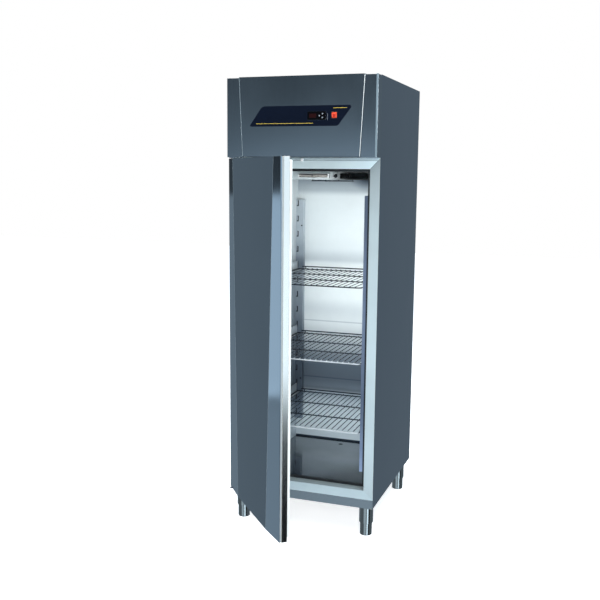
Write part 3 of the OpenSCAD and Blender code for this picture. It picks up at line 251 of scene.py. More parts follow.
def build_floor():
    corners = [(x * FLOOR_HALF, y * FLOOR_HALF, 0) for x, y in ((-1, -1), (1, -1), (1, 1), (-1, 1))]
    mesh = bpy.data.meshes.new("studio_floor")
    mesh.from_pydata(corners, [], [(0, 1, 2, 3)])
    floor = bpy.data.objects.new("studio_floor", mesh)
    bpy.context.scene.collection.objects.link(floor)
    paper = bpy.data.materials.new("floor_paper")
    paper.use_nodes = True
    tree = paper.node_tree
    place = shade(tree, "TexCoord")["Object"]
    fibre = shade(tree, "TexNoise", Vector=place, Scale=90.0, Detail=3.0)[0]
    body = tree.nodes["Principled BSDF"]
    tree.links.new(colour_mix(tree, fibre, (0.93, 0.93, 0.93, 1), (1, 1, 1, 1)), body.inputs[0])
    body.inputs["Roughness"].default_value = 0.9
    body.inputs["Specular IOR Level"].default_value = 0.1
    body.inputs["Emission Color"].default_value = (1, 1, 1, 1)
    body.inputs["Emission Strength"].default_value = PAPER_GLOW
    mesh.materials.append(paper)
    floor.visible_glossy = False


build_floor()
print("floor laid")

# %% [markdown]
# ## Finishes of sheet steel
# Brushed sheet is steel with fine scratches that all run one way. The grain is noise that is
# stretched along the brushing, and it drives colour, roughness and a whisper of bump. A slow
# cloud of noise adds the uneven sheen of a rolled sheet, which a flat colour lacks.
#
# The cavity mirrors itself over and over, and no simple room gives its shelves of light and dark.
# So some sheets have bands, which change their tone with height, or a soft dark spot. These are
# painted reflections and painted shade, such as the shade under the evaporator cover, and no
# property of the metal: to relight the cabinet, leave them out.

# %% Brushed and polished sheet
ALONG_Z = (900.0, 900.0, 8.0)
ALONG_X = (8.0, 900.0, 900.0)
STILL = (30.0, 30.0, 30.0)


def new_finish(name):
    material = bpy.data.materials.new(name)
    material.use_nodes = True
    tree = material.node_tree
    return material, tree, tree.nodes["Principled BSDF"], shade(tree, "TexCoord")["Object"]


def tone_by_height(tree, place, bands):
    """A grey factor that changes smoothly with height. bands holds (height in metres, factor)."""
    height = shade(tree, "SeparateXYZ", None, (place,))[2]
    factor = bands[0][1]
    for (low, _), (high, after) in zip(bands, bands[1:]):
        rise = spread(tree, height, 0.0, 1.0, low, high)
        factor = shade(tree, "Mix", {"data_type": "FLOAT"}, (rise, None, factor, after))[0]
    return factor


def sheet_steel(name, colour, grain, rough=0.3, metal=1.0, contrast=0.10, cloud=0.06,
                relief=0.05, brushing=0.3, bands=None, patch=None, cool=False):
    """Brushed sheet. bands change its tone with height and patch (centre, radius, factor) is a soft
    dark spot, both painted reflection and painted shade, and with cool the darker parts turn bluer."""
    material, tree, body, place = new_finish(name)
    stretched = shade(tree, "Mapping", Vector=place, Scale=grain)[0]
    scratches = shade(tree, "TexNoise", Vector=stretched, Scale=1.0, Detail=4.0, Roughness=0.65)[0]
    sheen = shade(tree, "TexNoise", Vector=place, Scale=2.6, Detail=3.0, Roughness=0.5)[0]
    dark = tuple(c * (1 - contrast) for c in colour[:3]) + (1,)
    light = tuple(min(1, c * (1 + contrast)) for c in colour[:3]) + (1,)
    paint = colour_mix(tree, spread(tree, scratches, 0, 1, 0.3, 0.7), dark, light)
    level = spread(tree, sheen, 1 - cloud, 1 + cloud, 0.3, 0.7)
    if bands:
        level = maths(tree, "MULTIPLY", level, tone_by_height(tree, place, bands))
    if patch:
        centre, radius, factor = patch
        away = shade(tree, "VectorMath", {"operation": "DISTANCE"}, (place, centre))["Value"]
        level = maths(tree, "MULTIPLY", level,
                      spread(tree, away, factor, 1.0, radius * 0.35, radius))
    green = blue = level
    if cool:
        green = maths(tree, "POWER", level, 0.92)
        blue = maths(tree, "POWER", level, 0.82)
    grey = shade(tree, "CombineColor", None, (level, green, blue))[0]
    tree.links.new(colour_mix(tree, 1.0, paint, grey, "MULTIPLY"), body.inputs["Base Color"])
    gloss = maths(tree, "ADD", spread(tree, sheen, rough - 0.02, rough + 0.02, 0.3, 0.7),
                  spread(tree, scratches, -0.02, 0.02, 0.3, 0.7))
    tree.links.new(gloss, body.inputs["Roughness"])
    bump = shade(tree, "Bump", Height=scratches, Strength=relief, Distance=0.0001)[0]
    tree.links.new(bump, body.inputs["Normal"])
    body.inputs["Metallic"].default_value = metal
    body.inputs["Anisotropic"].default_value = brushing
    return material


# Bands are (height in metres, factor). A spot is (centre, radius, factor). Both are painted
# reflection and painted shade.
RAIL_BANDS = ((0.26, 0.78), (1.66, 1.38))
STILE_BANDS = ((0.2, 0.76), (0.5, 0.95), (0.9, 1.0), (1.4, 0.84), (1.66, 0.6))
EDGE_BANDS = ((0.25, 0.72), (0.45, 0.98), (0.75, 1.09), (1.3, 1.03), (1.6, 0.93))
# The back wall's bands paint its light and shade: lighter and darker cells and thin dark lines near
# the shelves are painted reflections, the darkening at its top is painted shade under the
# evaporator cover, and it turns near-black at its foot.
BACK_BANDS = (
    (0.2, 0.03), (0.2205, 0.03), (0.2215, 1.1), (0.3, 1.25), (0.36, 1.15), (0.42, 0.9),
    (0.47, 0.6), (0.5, 0.26), (0.55, 0.18), (0.555, 0.1), (0.56, 0.17), (0.62, 0.18),
    (0.67, 0.32), (0.73, 0.62), (0.8, 0.95), (0.862, 1.1), (0.866, 0.7), (0.872, 1.1),
    (0.93, 1.0), (1.0, 1.2), (1.16, 1.25), (1.2, 0.72), (1.27, 0.95), (1.33, 1.0),
    (1.53, 0.98), (1.57, 0.6), (1.62, 0.42))
FRONT_BANDS = ((0.16, 1.9), (0.3, 1.4), (0.42, 1.1), (0.6, 0.75), (1.0, 1.0), (1.5, 0.6))
SIDE_BANDS = ((0.25, 0.8), (0.5, 0.22), (0.8, 0.3), (1.1, 0.42), (1.25, 0.8), (1.5, 1.0))
UPRIGHT_BANDS = (
    (0.3, 0.45), (0.5, 0.2), (0.65, 0.2), (0.8, 0.26), (0.95, 0.5), (1.08, 0.6),
    (1.17, 0.25), (1.24, 0.55), (1.34, 0.78), (1.5, 0.8))
# The spots are painted dark patches: painted shade at the top right of the back wall and on the
# evaporator cover, and a painted dark reflection towards the front right of the floor pan.
BACK_SHADE_SPOT = ((0.1, 0.35, 1.675), 0.13, 0.08)
PAN_SPOT = ((0.29, -0.3, 0.14), 0.42, 0.2)
COVER_SPOT = ((0.21, -0.06, 1.64), 0.24, 0.03)

# Sheets of one kind share their settings. The outer sheets are bright and almost even. The liner
# is satin, and so are the uprights and runners on it.
OUTER = dict(metal=1.0, contrast=0.02, cloud=0.02)
FRAME = dict(rough=0.34, metal=0.5, contrast=0.02)
SATIN = dict(grain=STILL, rough=0.34, relief=0.0, brushing=0.0)
LINER = dict(colour=tone(208, 214, 215), metal=0.3, contrast=0.01, cloud=0.02, **SATIN)
FITTING = dict(colour=tone(196, 203, 208), metal=0.6, contrast=0.03, cloud=0.06, **SATIN)

finish = {
    "outer_steel": sheet_steel("outer_steel", tone(138, 146, 156), ALONG_Z, 0.2, **OUTER),
    "frame_steel": sheet_steel("frame_steel", tone(206, 221, 226), ALONG_Z, **FRAME),
    "rear_steel": sheet_steel("rear_steel", tone(170, 174, 178), ALONG_X, 0.42),
    "liner_steel": sheet_steel("liner_steel", **LINER),
    "fitting_steel": sheet_steel("fitting_steel", **FITTING),
    "leg_steel": sheet_steel("leg_steel", tone(150, 150, 146), ALONG_X, 0.15),
    "hinge_steel": sheet_steel("hinge_steel", tone(150, 154, 160), ALONG_X, 0.32),
}
header_steel = sheet_steel("header_steel", tone(140, 148, 154), ALONG_Z, 0.14, **OUTER)
door_steel = sheet_steel("door_steel", tone(135, 145, 153), ALONG_Z, 0.07, contrast=0.01,
                         cloud=0.01, relief=0.02, brushing=0.0)
# From here on, sheets with bands or a spot carry painted reflection and painted shade in their
# colour. The rails, stiles, walls and uprights are lit and shaded copies of the frame, liner and
# fitting steel, and the front uprights' darker, bluish tone is painted reflection too.
edge_steel = sheet_steel("edge_steel", tone(243, 233, 222), ALONG_Z, 0.12, contrast=0.01,
                         cloud=0.02, relief=0.02, brushing=0.0, bands=EDGE_BANDS)
rail_steel = sheet_steel("rail_steel", tone(206, 220, 222), ALONG_X, bands=RAIL_BANDS, **FRAME)
stile_steel = sheet_steel("stile_steel", tone(206, 218, 219), ALONG_Z, bands=STILE_BANDS, **FRAME)
back_steel = sheet_steel("back_steel", bands=BACK_BANDS, patch=BACK_SHADE_SPOT, cool=True, **LINER)
side_steel = sheet_steel("side_steel", bands=SIDE_BANDS, cool=True, **LINER)
pan_steel = sheet_steel("pan_steel", tone(118, 122, 127), ALONG_Z, 0.12, metal=0.9,
                        contrast=0.04, cloud=0.3, patch=PAN_SPOT)
cover_steel = sheet_steel("cover_steel", tone(196, 203, 205), ALONG_X, 0.34, metal=0.5,
                          contrast=0.03, patch=COVER_SPOT)
rear_upright_steel = sheet_steel("rear_upright_steel", bands=UPRIGHT_BANDS, cool=True, **FITTING)
front_upright_steel = sheet_steel("front_upright_steel", tone(128, 142, 168), metal=0.5,
                                  contrast=0.03, cloud=0.06, bands=FRONT_BANDS, **SATIN)
plinth_steel = sheet_steel("plinth_steel", tone(131, 134, 135), ALONG_X, 0.2, **OUTER)
print("sheet finishes:", ", ".join(finish))

# %% [markdown]
# The shelf wire is bright-drawn and then electropolished. Its dark colour is a painted reflection
# of the dark cavity, and the almost white front rails of the two lower shelves are a painted
# highlight. The finish changes with depth and height, which is again a stand-in for what the wire
# mirrors.

# %% Shelf wire
FRONT_RAIL = (-0.3175, -0.3)
LOWER_SHELVES = (0.9, 1.0)


def shelf_wire():
    material, tree, body, place = new_finish("shelf_wire")
    _, depth, height = shade(tree, "SeparateXYZ", None, (place,))[:3]
    fine = shade(tree, "TexNoise", Vector=place, Scale=140.0, Detail=3.0)[0]
    # pale masks the painted highlight on the lower front rails, and plain is the wire's dark
    # painted reflection.
    pale = maths(tree, "MULTIPLY", spread(tree, depth, 1.0, 0.0, *FRONT_RAIL),
                 spread(tree, height, 1.0, 0.0, *LOWER_SHELVES))
    plain = colour_mix(tree, fine, tone(48, 52, 58), tone(62, 66, 72))
    tree.links.new(colour_mix(tree, pale, plain, tone(214, 220, 224)), body.inputs["Base Color"])
    tree.links.new(spread(tree, fine, 0.3, 0.42), body.inputs["Roughness"])
    tree.links.new(spread(tree, pale, 0.9, 0.2), body.inputs["Metallic"])
    return material


finish["shelf_wire"] = shelf_wire()
print("shelf wire ready")

# %% [markdown]
# Zinc-coated sheet, used where nobody looks, has flat crystals called spangle. A Voronoi texture
# is the natural choice, since its cells are crystals too: each cell gets a slightly different
# grey and gloss.

# %% Galvanised sheet


def galvanised(name, colour, cell=90.0):
    material, tree, body, place = new_finish(name)
    crystals = shade(tree, "TexVoronoi", Vector=place, Scale=cell)["Color"]
    pick = shade(tree, "SeparateColor", None, (crystals,))[0]
    dark = tuple(c * 0.78 for c in colour[:3]) + (1,)
    tree.links.new(colour_mix(tree, pick, dark, colour), body.inputs["Base Color"])
    tree.links.new(spread(tree, pick, 0.34, 0.52), body.inputs["Roughness"])
    body.inputs["Metallic"].default_value = 0.9
    return material


finish["shroud_steel"] = galvanised("shroud_steel", tone(176, 180, 184))
print("galvanised sheet ready")

# %% [markdown]
# ## Plastic, rubber, paint and foam
# Moulded plastic takes the faint leather of its mould, so fine noise goes into bump and gloss.
# One function serves every non-metal here, with its own colour, gloss and grain size.

# %% Moulded pieces


def moulded(name, colour, rough=0.5, grain=900.0, depth=0.00008, variation=0.08, coat=0.0,
            shine=0.5):
    material, tree, body, place = new_finish(name)
    fine = shade(tree, "TexNoise", Vector=place, Scale=grain, Detail=3.0, Roughness=0.6)[0]
    slow = shade(tree, "TexNoise", Vector=place, Scale=12.0, Detail=2.0)[0]
    dark = tuple(c * (1 - variation) for c in colour[:3]) + (1,)
    light = tuple(min(1, c * (1 + variation)) for c in colour[:3]) + (1,)
    tree.links.new(colour_mix(tree, slow, dark, light), body.inputs["Base Color"])
    tree.links.new(spread(tree, fine, rough - 0.08, rough + 0.08, 0.3, 0.7),
                   body.inputs["Roughness"])
    bump = shade(tree, "Bump", Height=fine, Strength=0.3, Distance=depth)[0]
    tree.links.new(bump, body.inputs["Normal"])
    body.inputs["Specular IOR Level"].default_value = shine
    body.inputs["Coat Weight"].default_value = coat
    body.inputs["Coat Roughness"].default_value = 0.08
    return material


finish.update({
    "foam": moulded("foam", tone(226, 214, 168), 0.85, 260.0, depth=0.0006, variation=0.12),
    "black_plastic": moulded("black_plastic", tone(26, 28, 31), 0.42),
    "display_window": moulded("display_window", tone(6, 6, 8), 0.12, 1200.0, depth=0.0,
                              variation=0.2, shine=0.08),
    "fascia_film": moulded("fascia_film", tone(4, 12, 28), 0.38, 1500.0, depth=0.00002,
                           variation=0.1, shine=0.1),
    "key_plastic": moulded("key_plastic", tone(140, 146, 154), 0.4),
    "switch_orange": moulded("switch_orange", tone(226, 70, 34), 0.38, depth=0.00004, coat=0.4),
    "gasket_rubber": moulded("gasket_rubber", tone(226, 228, 224), 0.62, 700.0),
    "white_plastic": moulded("white_plastic", tone(236, 238, 236), 0.4),
    "motor_case": moulded("motor_case", tone(52, 55, 60), 0.45, 500.0),
    "compressor_paint": moulded("compressor_paint", tone(20, 21, 23), 0.38, 320.0, depth=0.0001,
                                variation=0.2, coat=0.3),
    "box_plastic": moulded("box_plastic", tone(176, 179, 180), 0.5),
    "fan_blades": moulded("fan_blades", tone(38, 40, 44), 0.4),
})
print("moulded finishes:", len(finish))

# %% [markdown]
# Copper pipe and raw aluminium are metals with a history: copper has darker heat marks, and
# fins and cast blades are dull with oxide. Both are noise again, in colour and in roughness.

# %% Copper and aluminium


def aged_metal(name, colour, stain, rough=0.3, size=30.0):
    material, tree, body, place = new_finish(name)
    patches = shade(tree, "TexNoise", Vector=place, Scale=size, Detail=5.0, Roughness=0.6)[0]
    mask = spread(tree, patches, 0.0, 1.0, 0.42, 0.68)
    tree.links.new(colour_mix(tree, mask, colour, stain), body.inputs["Base Color"])
    tree.links.new(spread(tree, mask, rough, rough + 0.2), body.inputs["Roughness"])
    body.inputs["Metallic"].default_value = 1.0
    return material


finish["pipe_copper"] = aged_metal("pipe_copper", tone(214, 138, 96), tone(140, 78, 50), 0.3)
finish["coil_fins"] = aged_metal("coil_fins", tone(206, 209, 212), tone(168, 172, 176), 0.36, 14.0)
finish["fan_alloy"] = aged_metal("fan_alloy", tone(190, 193, 196), tone(150, 154, 158), 0.34)

for part in frame["record"]["subparts"]:
    nodes[part["node"]].material_slots[0].material = finish[part["material_slot"]]
lamp_glass = moulded("lamp_glass", tone(128, 124, 118), 0.18)
edge_plastic = moulded("edge_plastic", tone(150, 156, 158), 0.17)
stripe_yellow = moulded("stripe_yellow", tone(222, 190, 70), 0.4)
ember_red = moulded("ember_red", tone(34, 11, 12), 0.17, shine=0.1)
switch_lens = moulded("switch_lens", tone(186, 42, 26), 0.4, shine=0.2)
# The three fold finishes are painted highlights along folds and bends, on the flap, the door and
# the header.
fold_highlight = moulded("fold_highlight", tone(238, 242, 240), 0.38)
fold_dim_highlight = moulded("fold_dim_highlight", tone(128, 142, 148), 0.38)
bend_highlight_band = moulded("bend_highlight_band", tone(112, 128, 136), 0.38)
# The dark seam finish serves both the dark mitre joints and the painted shade in the rail's groove.
dark_joint_and_shade = moulded("dark_joint_and_shade", tone(88, 108, 118), 0.5)
# The sensor's white is a brighter copy of the white plastic, a painted highlight for a cap that
# sits in the header's shade.
sensor_white = moulded("sensor_white", tone(253, 254, 254), 0.4, variation=0.01)
screw_black = moulded("screw_black", tone(14, 15, 18), 0.4)
for name, own in (
        ("header_flap", header_steel), ("header_shell", header_steel), ("door_skin", door_steel),
        ("door_liner", edge_steel), ("frame_rails", rail_steel), ("frame_stiles", stile_steel),
        ("liner_back", back_steel), ("liner_sides", side_steel), ("floor_pan", pan_steel),
        ("evaporator_cover", cover_steel), ("liner_ceiling", cover_steel),
        ("door_edge_trim", edge_plastic),
        ("upright_screws", screw_black), ("uprights_rear", rear_upright_steel),
        ("uprights_front", front_upright_steel), ("base_tray", plinth_steel)):
    nodes[name].material_slots[0].material = own

# %% [markdown]
# ## Edges that catch the light
# A folded sheet has a small bend radius, and it shows as a bright line along every corner. The
# drawing's corners are sharp, so a Bevel modifier rounds them by a fraction of a millimetre. The
# drawing's mesh isn't touched: a small group of geometry nodes first welds its seams and marks
# its sharp edges, and the bevel comes after.

# %% Round the folded edges
WELD_GAP = 0.00001
SHARP = math.radians(28)
FACET = math.radians(1.2)
FACETED = ("door_skin", "header_flap", "header_shell", "frame_stiles", "frame_rails")
FOLDED = {
    "side_panel_left": 0.4, "side_panel_right": 0.4, "header_shell": 0.4, "header_flap": 0.5,
    "door_skin": 0.45, "door_liner": 0.45, "frame_stiles": 0.35, "frame_rails": 0.35,
    "base_tray": 0.4, "back_panel": 0.4, "rear_grille": 0.3, "deck_panel": 0.3,
    "evaporator_cover": 0.4, "liner_ceiling": 0.35, "control_box": 2.0, "control_fascia": 0.3,
    "display_unit": 0.25, "switch_housing": 0.3, "power_switch": 0.7, "key_set": 0.3,
    "key_up": 0.3, "key_down": 0.3, "door_sensor": 0.8, "leg_sockets": 0.8,
    "foot_front_left": 0.8, "foot_front_right": 0.8, "foot_rear_left": 0.8,
    "foot_rear_right": 0.8, "hinge_bracket_upper": 0.5, "hinge_bracket_lower": 0.5,
    "runners_upper": 0.3, "runners_middle": 0.3, "runners_lower": 0.3, "fan_shroud": 0.4,
    "breaker_strip": 0.5, "door_edge_trim": 0.4,
}


def seam_welder(name, sharp):
    group = bpy.data.node_groups.new(name, "GeometryNodeTree")
    group.interface.new_socket("Geometry", in_out="INPUT", socket_type="NodeSocketGeometry")
    group.interface.new_socket("Geometry", in_out="OUTPUT", socket_type="NodeSocketGeometry")
    start = group.nodes.new("NodeGroupInput")
    weld = group.nodes.new("GeometryNodeMergeByDistance")
    weld.inputs["Distance"].default_value = WELD_GAP
    soft = group.nodes.new("GeometryNodeSetShadeSmooth")
    angle = group.nodes.new("GeometryNodeInputMeshEdgeAngle")
    wide = group.nodes.new("FunctionNodeCompare")
    wide.inputs[1].default_value = sharp
    crease = group.nodes.new("GeometryNodeSetShadeSmooth")
    crease.domain = "EDGE"
    crease.inputs["Shade Smooth"].default_value = False
    end = group.nodes.new("NodeGroupOutput")
    for source, target in (
            (start.outputs[0], weld.inputs[0]), (weld.outputs[0], soft.inputs[0]),
            (soft.outputs[0], crease.inputs[0]), (angle.outputs[0], wide.inputs[0]),
            (wide.outputs[0], crease.inputs["Selection"]), (crease.outputs[0], end.inputs[0])):
        group.links.new(source, target)
    return group


welder = seam_welder("weld_and_shade", SHARP)
facet_welder = seam_welder("weld_facets", FACET)


def round_edges(piece, radius_mm, steps=2):
    seams = piece.modifiers.new("weld_and_shade", "NODES")
    seams.node_group = facet_welder if piece.name in FACETED else welder
    bevel = piece.modifiers.new("fold_radius", "BEVEL")
    bevel.width = radius_mm * MM
    bevel.segments = steps
    bevel.limit_method = "ANGLE"
    bevel.angle_limit = SHARP
    bevel.harden_normals = True


for name, radius_mm in FOLDED.items():
    round_edges(nodes[name], radius_mm)
print("rounded the edges of", len(FOLDED), "pieces")

# %% [markdown]
# ## Adding pieces of our own
# What follows is built from lists of points and faces. This helper turns them into an object,
# gives it a finish, and lets it ride on a body, so that it moves with the door or the flap.

# %% A helper that makes a piece


def piece(name, points, faces, slot, body, smooth=False, own=None):
    mesh = bpy.data.meshes.new(name)
    mesh.from_pydata([Vector(p) * MM for p in points], [], faces)
    tidy = bmesh.new()
    tidy.from_mesh(mesh)
    bmesh.ops.recalc_face_normals(tidy, faces=tidy.faces)
    tidy.to_mesh(mesh)
    tidy.free()
    mesh.materials.append(own or finish[slot])
    if smooth:
        mesh.shade_smooth()
        mesh.set_sharp_from_angle(angle=math.radians(40))
    made = bpy.data.objects.new(name, mesh)
    bpy.context.scene.collection.objects.link(made)
    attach(made, body)
    return made


def box_shape(low, high):
    """The corners and faces of a box, from its lowest to its highest corner."""
    points = [(x, y, z) for x in (low[0], high[0]) for y in (low[1], high[1])
              for z in (low[2], high[2])]
    faces = [(0, 1, 3, 2), (4, 6, 7, 5), (0, 4, 5, 1), (2, 3, 7, 6), (0, 2, 6, 4), (1, 5, 7, 3)]
    return points, faces


def joined(shapes):
    """Several shapes as one list of points and one of faces."""
    points, faces = [], []
    for more_points, more_faces in shapes:
        faces += [tuple(i + len(points) for i in face) for face in more_faces]
        points += list(more_points)
    return points, faces


print("piece helper ready")

# %% [markdown]
# ## Sweeping a section along a path
# Pipes, tube bends and wires are all one round section carried along a path. A Curve object with a
# bevel would do it too, but a mesh made by hand keeps every ring where we want it and exports
# as it is. Each ring is turned as little as possible from the one before, so the tube never twists.

# %% Rounded paths, tubes and turned shapes


def rounded_path(corners, bend, steps=6):
    """The corners joined by straight runs, with each corner an arc of the bending radius."""
    corners = [Vector(c) for c in corners]
    path = [corners[0]]
    for before, corner, after in zip(corners, corners[1:], corners[2:]):
        back, ahead = (before - corner), (after - corner)
        half = back.angle(ahead) / 2
        cut = min(bend / math.tan(half), 0.48 * back.length, 0.48 * ahead.length)
        back.normalize()
        ahead.normalize()
        centre = corner + (back + ahead).normalized() * (cut / math.cos(half))
        start, end = corner + back * cut - centre, corner + ahead * cut - centre
        sweep = start.angle(end)
        for i in range(steps + 1):
            t = i / steps
            path.append(centre + (start * math.sin((1 - t) * sweep)
                                  + end * math.sin(t * sweep)) / math.sin(sweep))
    return path + [corners[-1]]


def tube_shape(path, radius, sides=14):
    """A round tube along the path, closed at both ends. radius is one number or one for each."""
    radii = radius if isinstance(radius, (list, tuple)) else [radius] * len(path)
    points, faces = [], []
    ahead = (path[1] - path[0]).normalized()
    side = ahead.orthogonal().normalized()
    for i, (centre, r) in enumerate(zip(path, radii)):
        before, after = path[max(i - 1, 0)], path[min(i + 1, len(path) - 1)]
        turned = (after - before).normalized()
        side = (side - turned * side.dot(turned)).normalized()
        other = turned.cross(side)
        for k in range(sides):
            a = 2 * math.pi * k / sides
            points.append(centre + (side * math.cos(a) + other * math.sin(a)) * r)
    for i in range(len(path) - 1):
        for k in range(sides):
            a, b = i * sides + k, i * sides + (k + 1) % sides
            faces.append((a, b, b + sides, a + sides))
    faces.append(tuple(range(sides)))
    faces.append(tuple(range(len(points) - sides, len(points))))
    return points, faces


def turned_shape(centre, axis, profile, sides=36):
    """A shape from the lathe: profile is (distance along the axis, radius)."""
    axis = Vector(axis).normalized()
    path = [Vector(centre) + axis * along for along, _ in profile]
    return tube_shape(path, [max(r, 0.01) for _, r in profile], sides)


print("sweeping helpers ready")

# %% [markdown]
# ## The refrigerant pipes
# Copper pipe is bent cold round a former, so its corners are arcs of about three diameters. The
# filter-drier is a spun copper capsule brazed into the liquid line, with a neck at each end. Two
# wire bails stand over it and hold it to the deck.

# %% Bend the pipes
PIPE_R, PIPE_BEND = 5.0, 16.0
BAIL_R, BAIL_BEND = 1.6, 13
RUNS = (
    ((130, -80, 1993), (130, -80, 2052), (-50, -80, 2052), (-50, -314, 2052), (-50, -314, 2036)),
    ((47.8, -80, 1868), (-90, -80, 1868), (-90, 285, 1868), (-90, 285, 1743)),
    ((-30, -322, 1806), (-2, -322, 1806), (-2, -322, 1826), (-2, -84, 1826), (-84, -84, 1826)),
    ((-176, -84, 1826), (-200, -84, 1826), (-200, 285, 1826), (-120, 285, 1826),
     (-120, 285, 1743)),
)
DRIER = ((-52, 5.2), (-48, 5.4), (-44, 8), (-39, 12), (-34, 13), (34, 13), (39, 12), (44, 8),
         (48, 5.4), (52, 5.2))
shapes = [tube_shape(rounded_path(run, PIPE_BEND), PIPE_R) for run in RUNS]
shapes.append(turned_shape((-130, -84, 1826), (1, 0, 0), DRIER))
for x in (-160, -100):
    bail = [(x, -98, 1786.5), (x, -98, 1840), (x, -70, 1840), (x, -70, 1786.5)]
    shapes.append(tube_shape(rounded_path(bail, BAIL_BEND), BAIL_R, 8))
points, faces = joined(shapes)
pipes = piece("bent_pipes", points, faces, "pipe_copper", "cabinet", smooth=True)
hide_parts("refrigerant_pipes")
print("pipes:", len(RUNS), "runs and a drier,", len(points), "points")

# %% [markdown]
# ## The two coils
# A coil is a stack of thin aluminium fins pressed onto copper tubes. The stack was a plain block in
# the drawing. Here every fin is a sheet of its own, the tubes run through them, and return bends
# join the tubes at the ends, turn about.

# %% Stack the fins
COIL_TUBE_R = 4.0
THIN_FIN, END_PLATE = 0.15, 0.6


def fin_stack(name, node, low, high, pitch, rows):
    """Fins across X between two corners, with rows of tubes as (y, z), joined by return bends."""
    fins = []
    count = int((high[0] - low[0]) / pitch)
    for i in range(count + 1):
        x = low[0] + (high[0] - low[0]) * i / count
        thick = END_PLATE if i in (0, count) else THIN_FIN
        x = min(max(x, low[0] + thick), high[0] - thick)
        fins.append(box_shape((x - thick, low[1], low[2]), (x + thick, high[1], high[2])))
    points, faces = joined(fins)
    stack = piece(name + "_fins", points, faces, "coil_fins", "cabinet")
    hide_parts(node)
    tubes = []
    for row in rows:
        for y, z in row:
            ends = [Vector((low[0] - 1, y, z)), Vector((high[0] + 1, y, z))]
            tubes.append(tube_shape(ends, COIL_TUBE_R))
        for i, (first, second) in enumerate(zip(row, row[1:])):
            side = 1 if i % 2 == 0 else -1
            x = high[0] if side > 0 else low[0]
            middle = Vector((x, (first[0] + second[0]) / 2, (first[1] + second[1]) / 2))
            half = Vector((0, second[0] - first[0], second[1] - first[1])) / 2
            out = Vector((side * half.length, 0, 0))
            arc = [middle - half * math.cos(math.pi * k / 12) + out * math.sin(math.pi * k / 12)
                   for k in range(13)]
            tubes.append(tube_shape(arc, COIL_TUBE_R))
    points, faces = joined(tubes)
    piece(name + "_tubes", points, faces, "pipe_copper", "cabinet", smooth=True)
    print(name, count + 1, "fins,", len(tubes), "tubes and bends")


fin_stack("condenser", "condenser_coil", (-310, -334, 1786), (-30, -274, 2036), 3.2,
          [[(-304, 1786 + 31.25 * (k + 0.5)) for k in range(8)]])
fin_stack("evaporator", "evaporator_coil", (-213, 204, 1673), (213, 324, 1743), 4.6,
          [[(204 + 30 * (k + 0.5), 1673 + 70 * (row + 0.5) / 3) for k in range(4)]
           for row in range(3)])

# %% [markdown]
# ## The fans
# A real fan blade is twisted: steep at the hub, where it moves slowly, and flat at its fast tip.
# The blade is a small grid of points with a front and a back, so it has a true thickness.

# %% Twist the blades


def blade_shape(turn, hub, tip, steep=38.0, flat=22.0, chord=(36.0, 56.0), thick=0.9):
    points, faces = [], []
    radial, along = 7, 5
    for face in (-1, 1):
        for i in range(radial):
            t = i / (radial - 1)
            r = hub - 1.5 + (tip - hub + 1.5) * t
            pitch = math.radians(steep + (flat - steep) * t)
            width = chord[0] + (chord[1] - chord[0]) * t
            lean = turn + 0.16 * t * t
            for k in range(along):
                u = k / (along - 1) - 0.5
                camber = 2.2 * (0.25 - u * u) * 4
                across = u * width * math.cos(pitch) - camber * math.sin(pitch)
                rise = u * width * math.sin(pitch) + camber * math.cos(pitch)
                edge = 1 - (2 * abs(u)) ** 4 * 0.7
                a = lean + across / r
                points.append((r * math.cos(a), r * math.sin(a), rise - 0.8 + face * thick * edge))
    size = radial * along
    for i in range(radial - 1):
        for k in range(along - 1):
            a = i * along + k
            faces.append((a, a + 1, a + along + 1, a + along))
            faces.append(tuple(size + v for v in (a, a + along, a + along + 1, a + 1)))
    rim = [i * along for i in range(radial)] + [size - along + k for k in range(1, along)]
    rim += [i * along + along - 1 for i in range(radial - 2, -1, -1)]
    rim += [k for k in range(along - 2, 0, -1)]
    for a, b in zip(rim, rim[1:] + rim[:1]):
        faces.append((a, b, b + size, a + size))
    return points, faces


def fan_wheel(name, node, body, slot, place, turn, hub, tip, blades=5):
    """A hub and its blades, made with the axis along Z and then turned into place."""
    shapes = [turned_shape((0, 0, 0), (0, 0, 1), (
        (-13, hub - 3), (-12.6, hub - 1), (-11, hub), (9, hub), (11.4, hub - 1.6),
        (12.4, hub - 5), (12.8, hub * 0.5), (13, 1)))]
    shapes += [blade_shape(2 * math.pi * i / blades, hub, tip - 1) for i in range(blades)]
    points, faces = joined(shapes)
    points = [turn @ Vector(p) + Vector(place) for p in points]
    wheel = piece(name, points, faces, slot, body, smooth=True)
    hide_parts(node)
    print(name, "with", blades, "blades of", tip, "mm")


fan_wheel("evaporator_wheel", "evaporator_fan", "evaporator_fan", "fan_blades",
          (0, 62, 1640.2), Matrix.Identity(3), 22, 94)
fan_wheel("condenser_wheel", "condenser_fan", "condenser_fan", "fan_alloy",
          (-170, -242, 1911), Matrix.Rotation(math.radians(90), 3, "X"), 24, 106)

# %% [markdown]
# ## The door gasket
# A fridge gasket is a hollow vinyl bellows with a magnet in its front chamber. Its section is
# carried round the door's rim. Each point of the section becomes one rounded rectangle, and
# neighbouring rectangles are joined, which keeps the mitred corners of the real gasket.

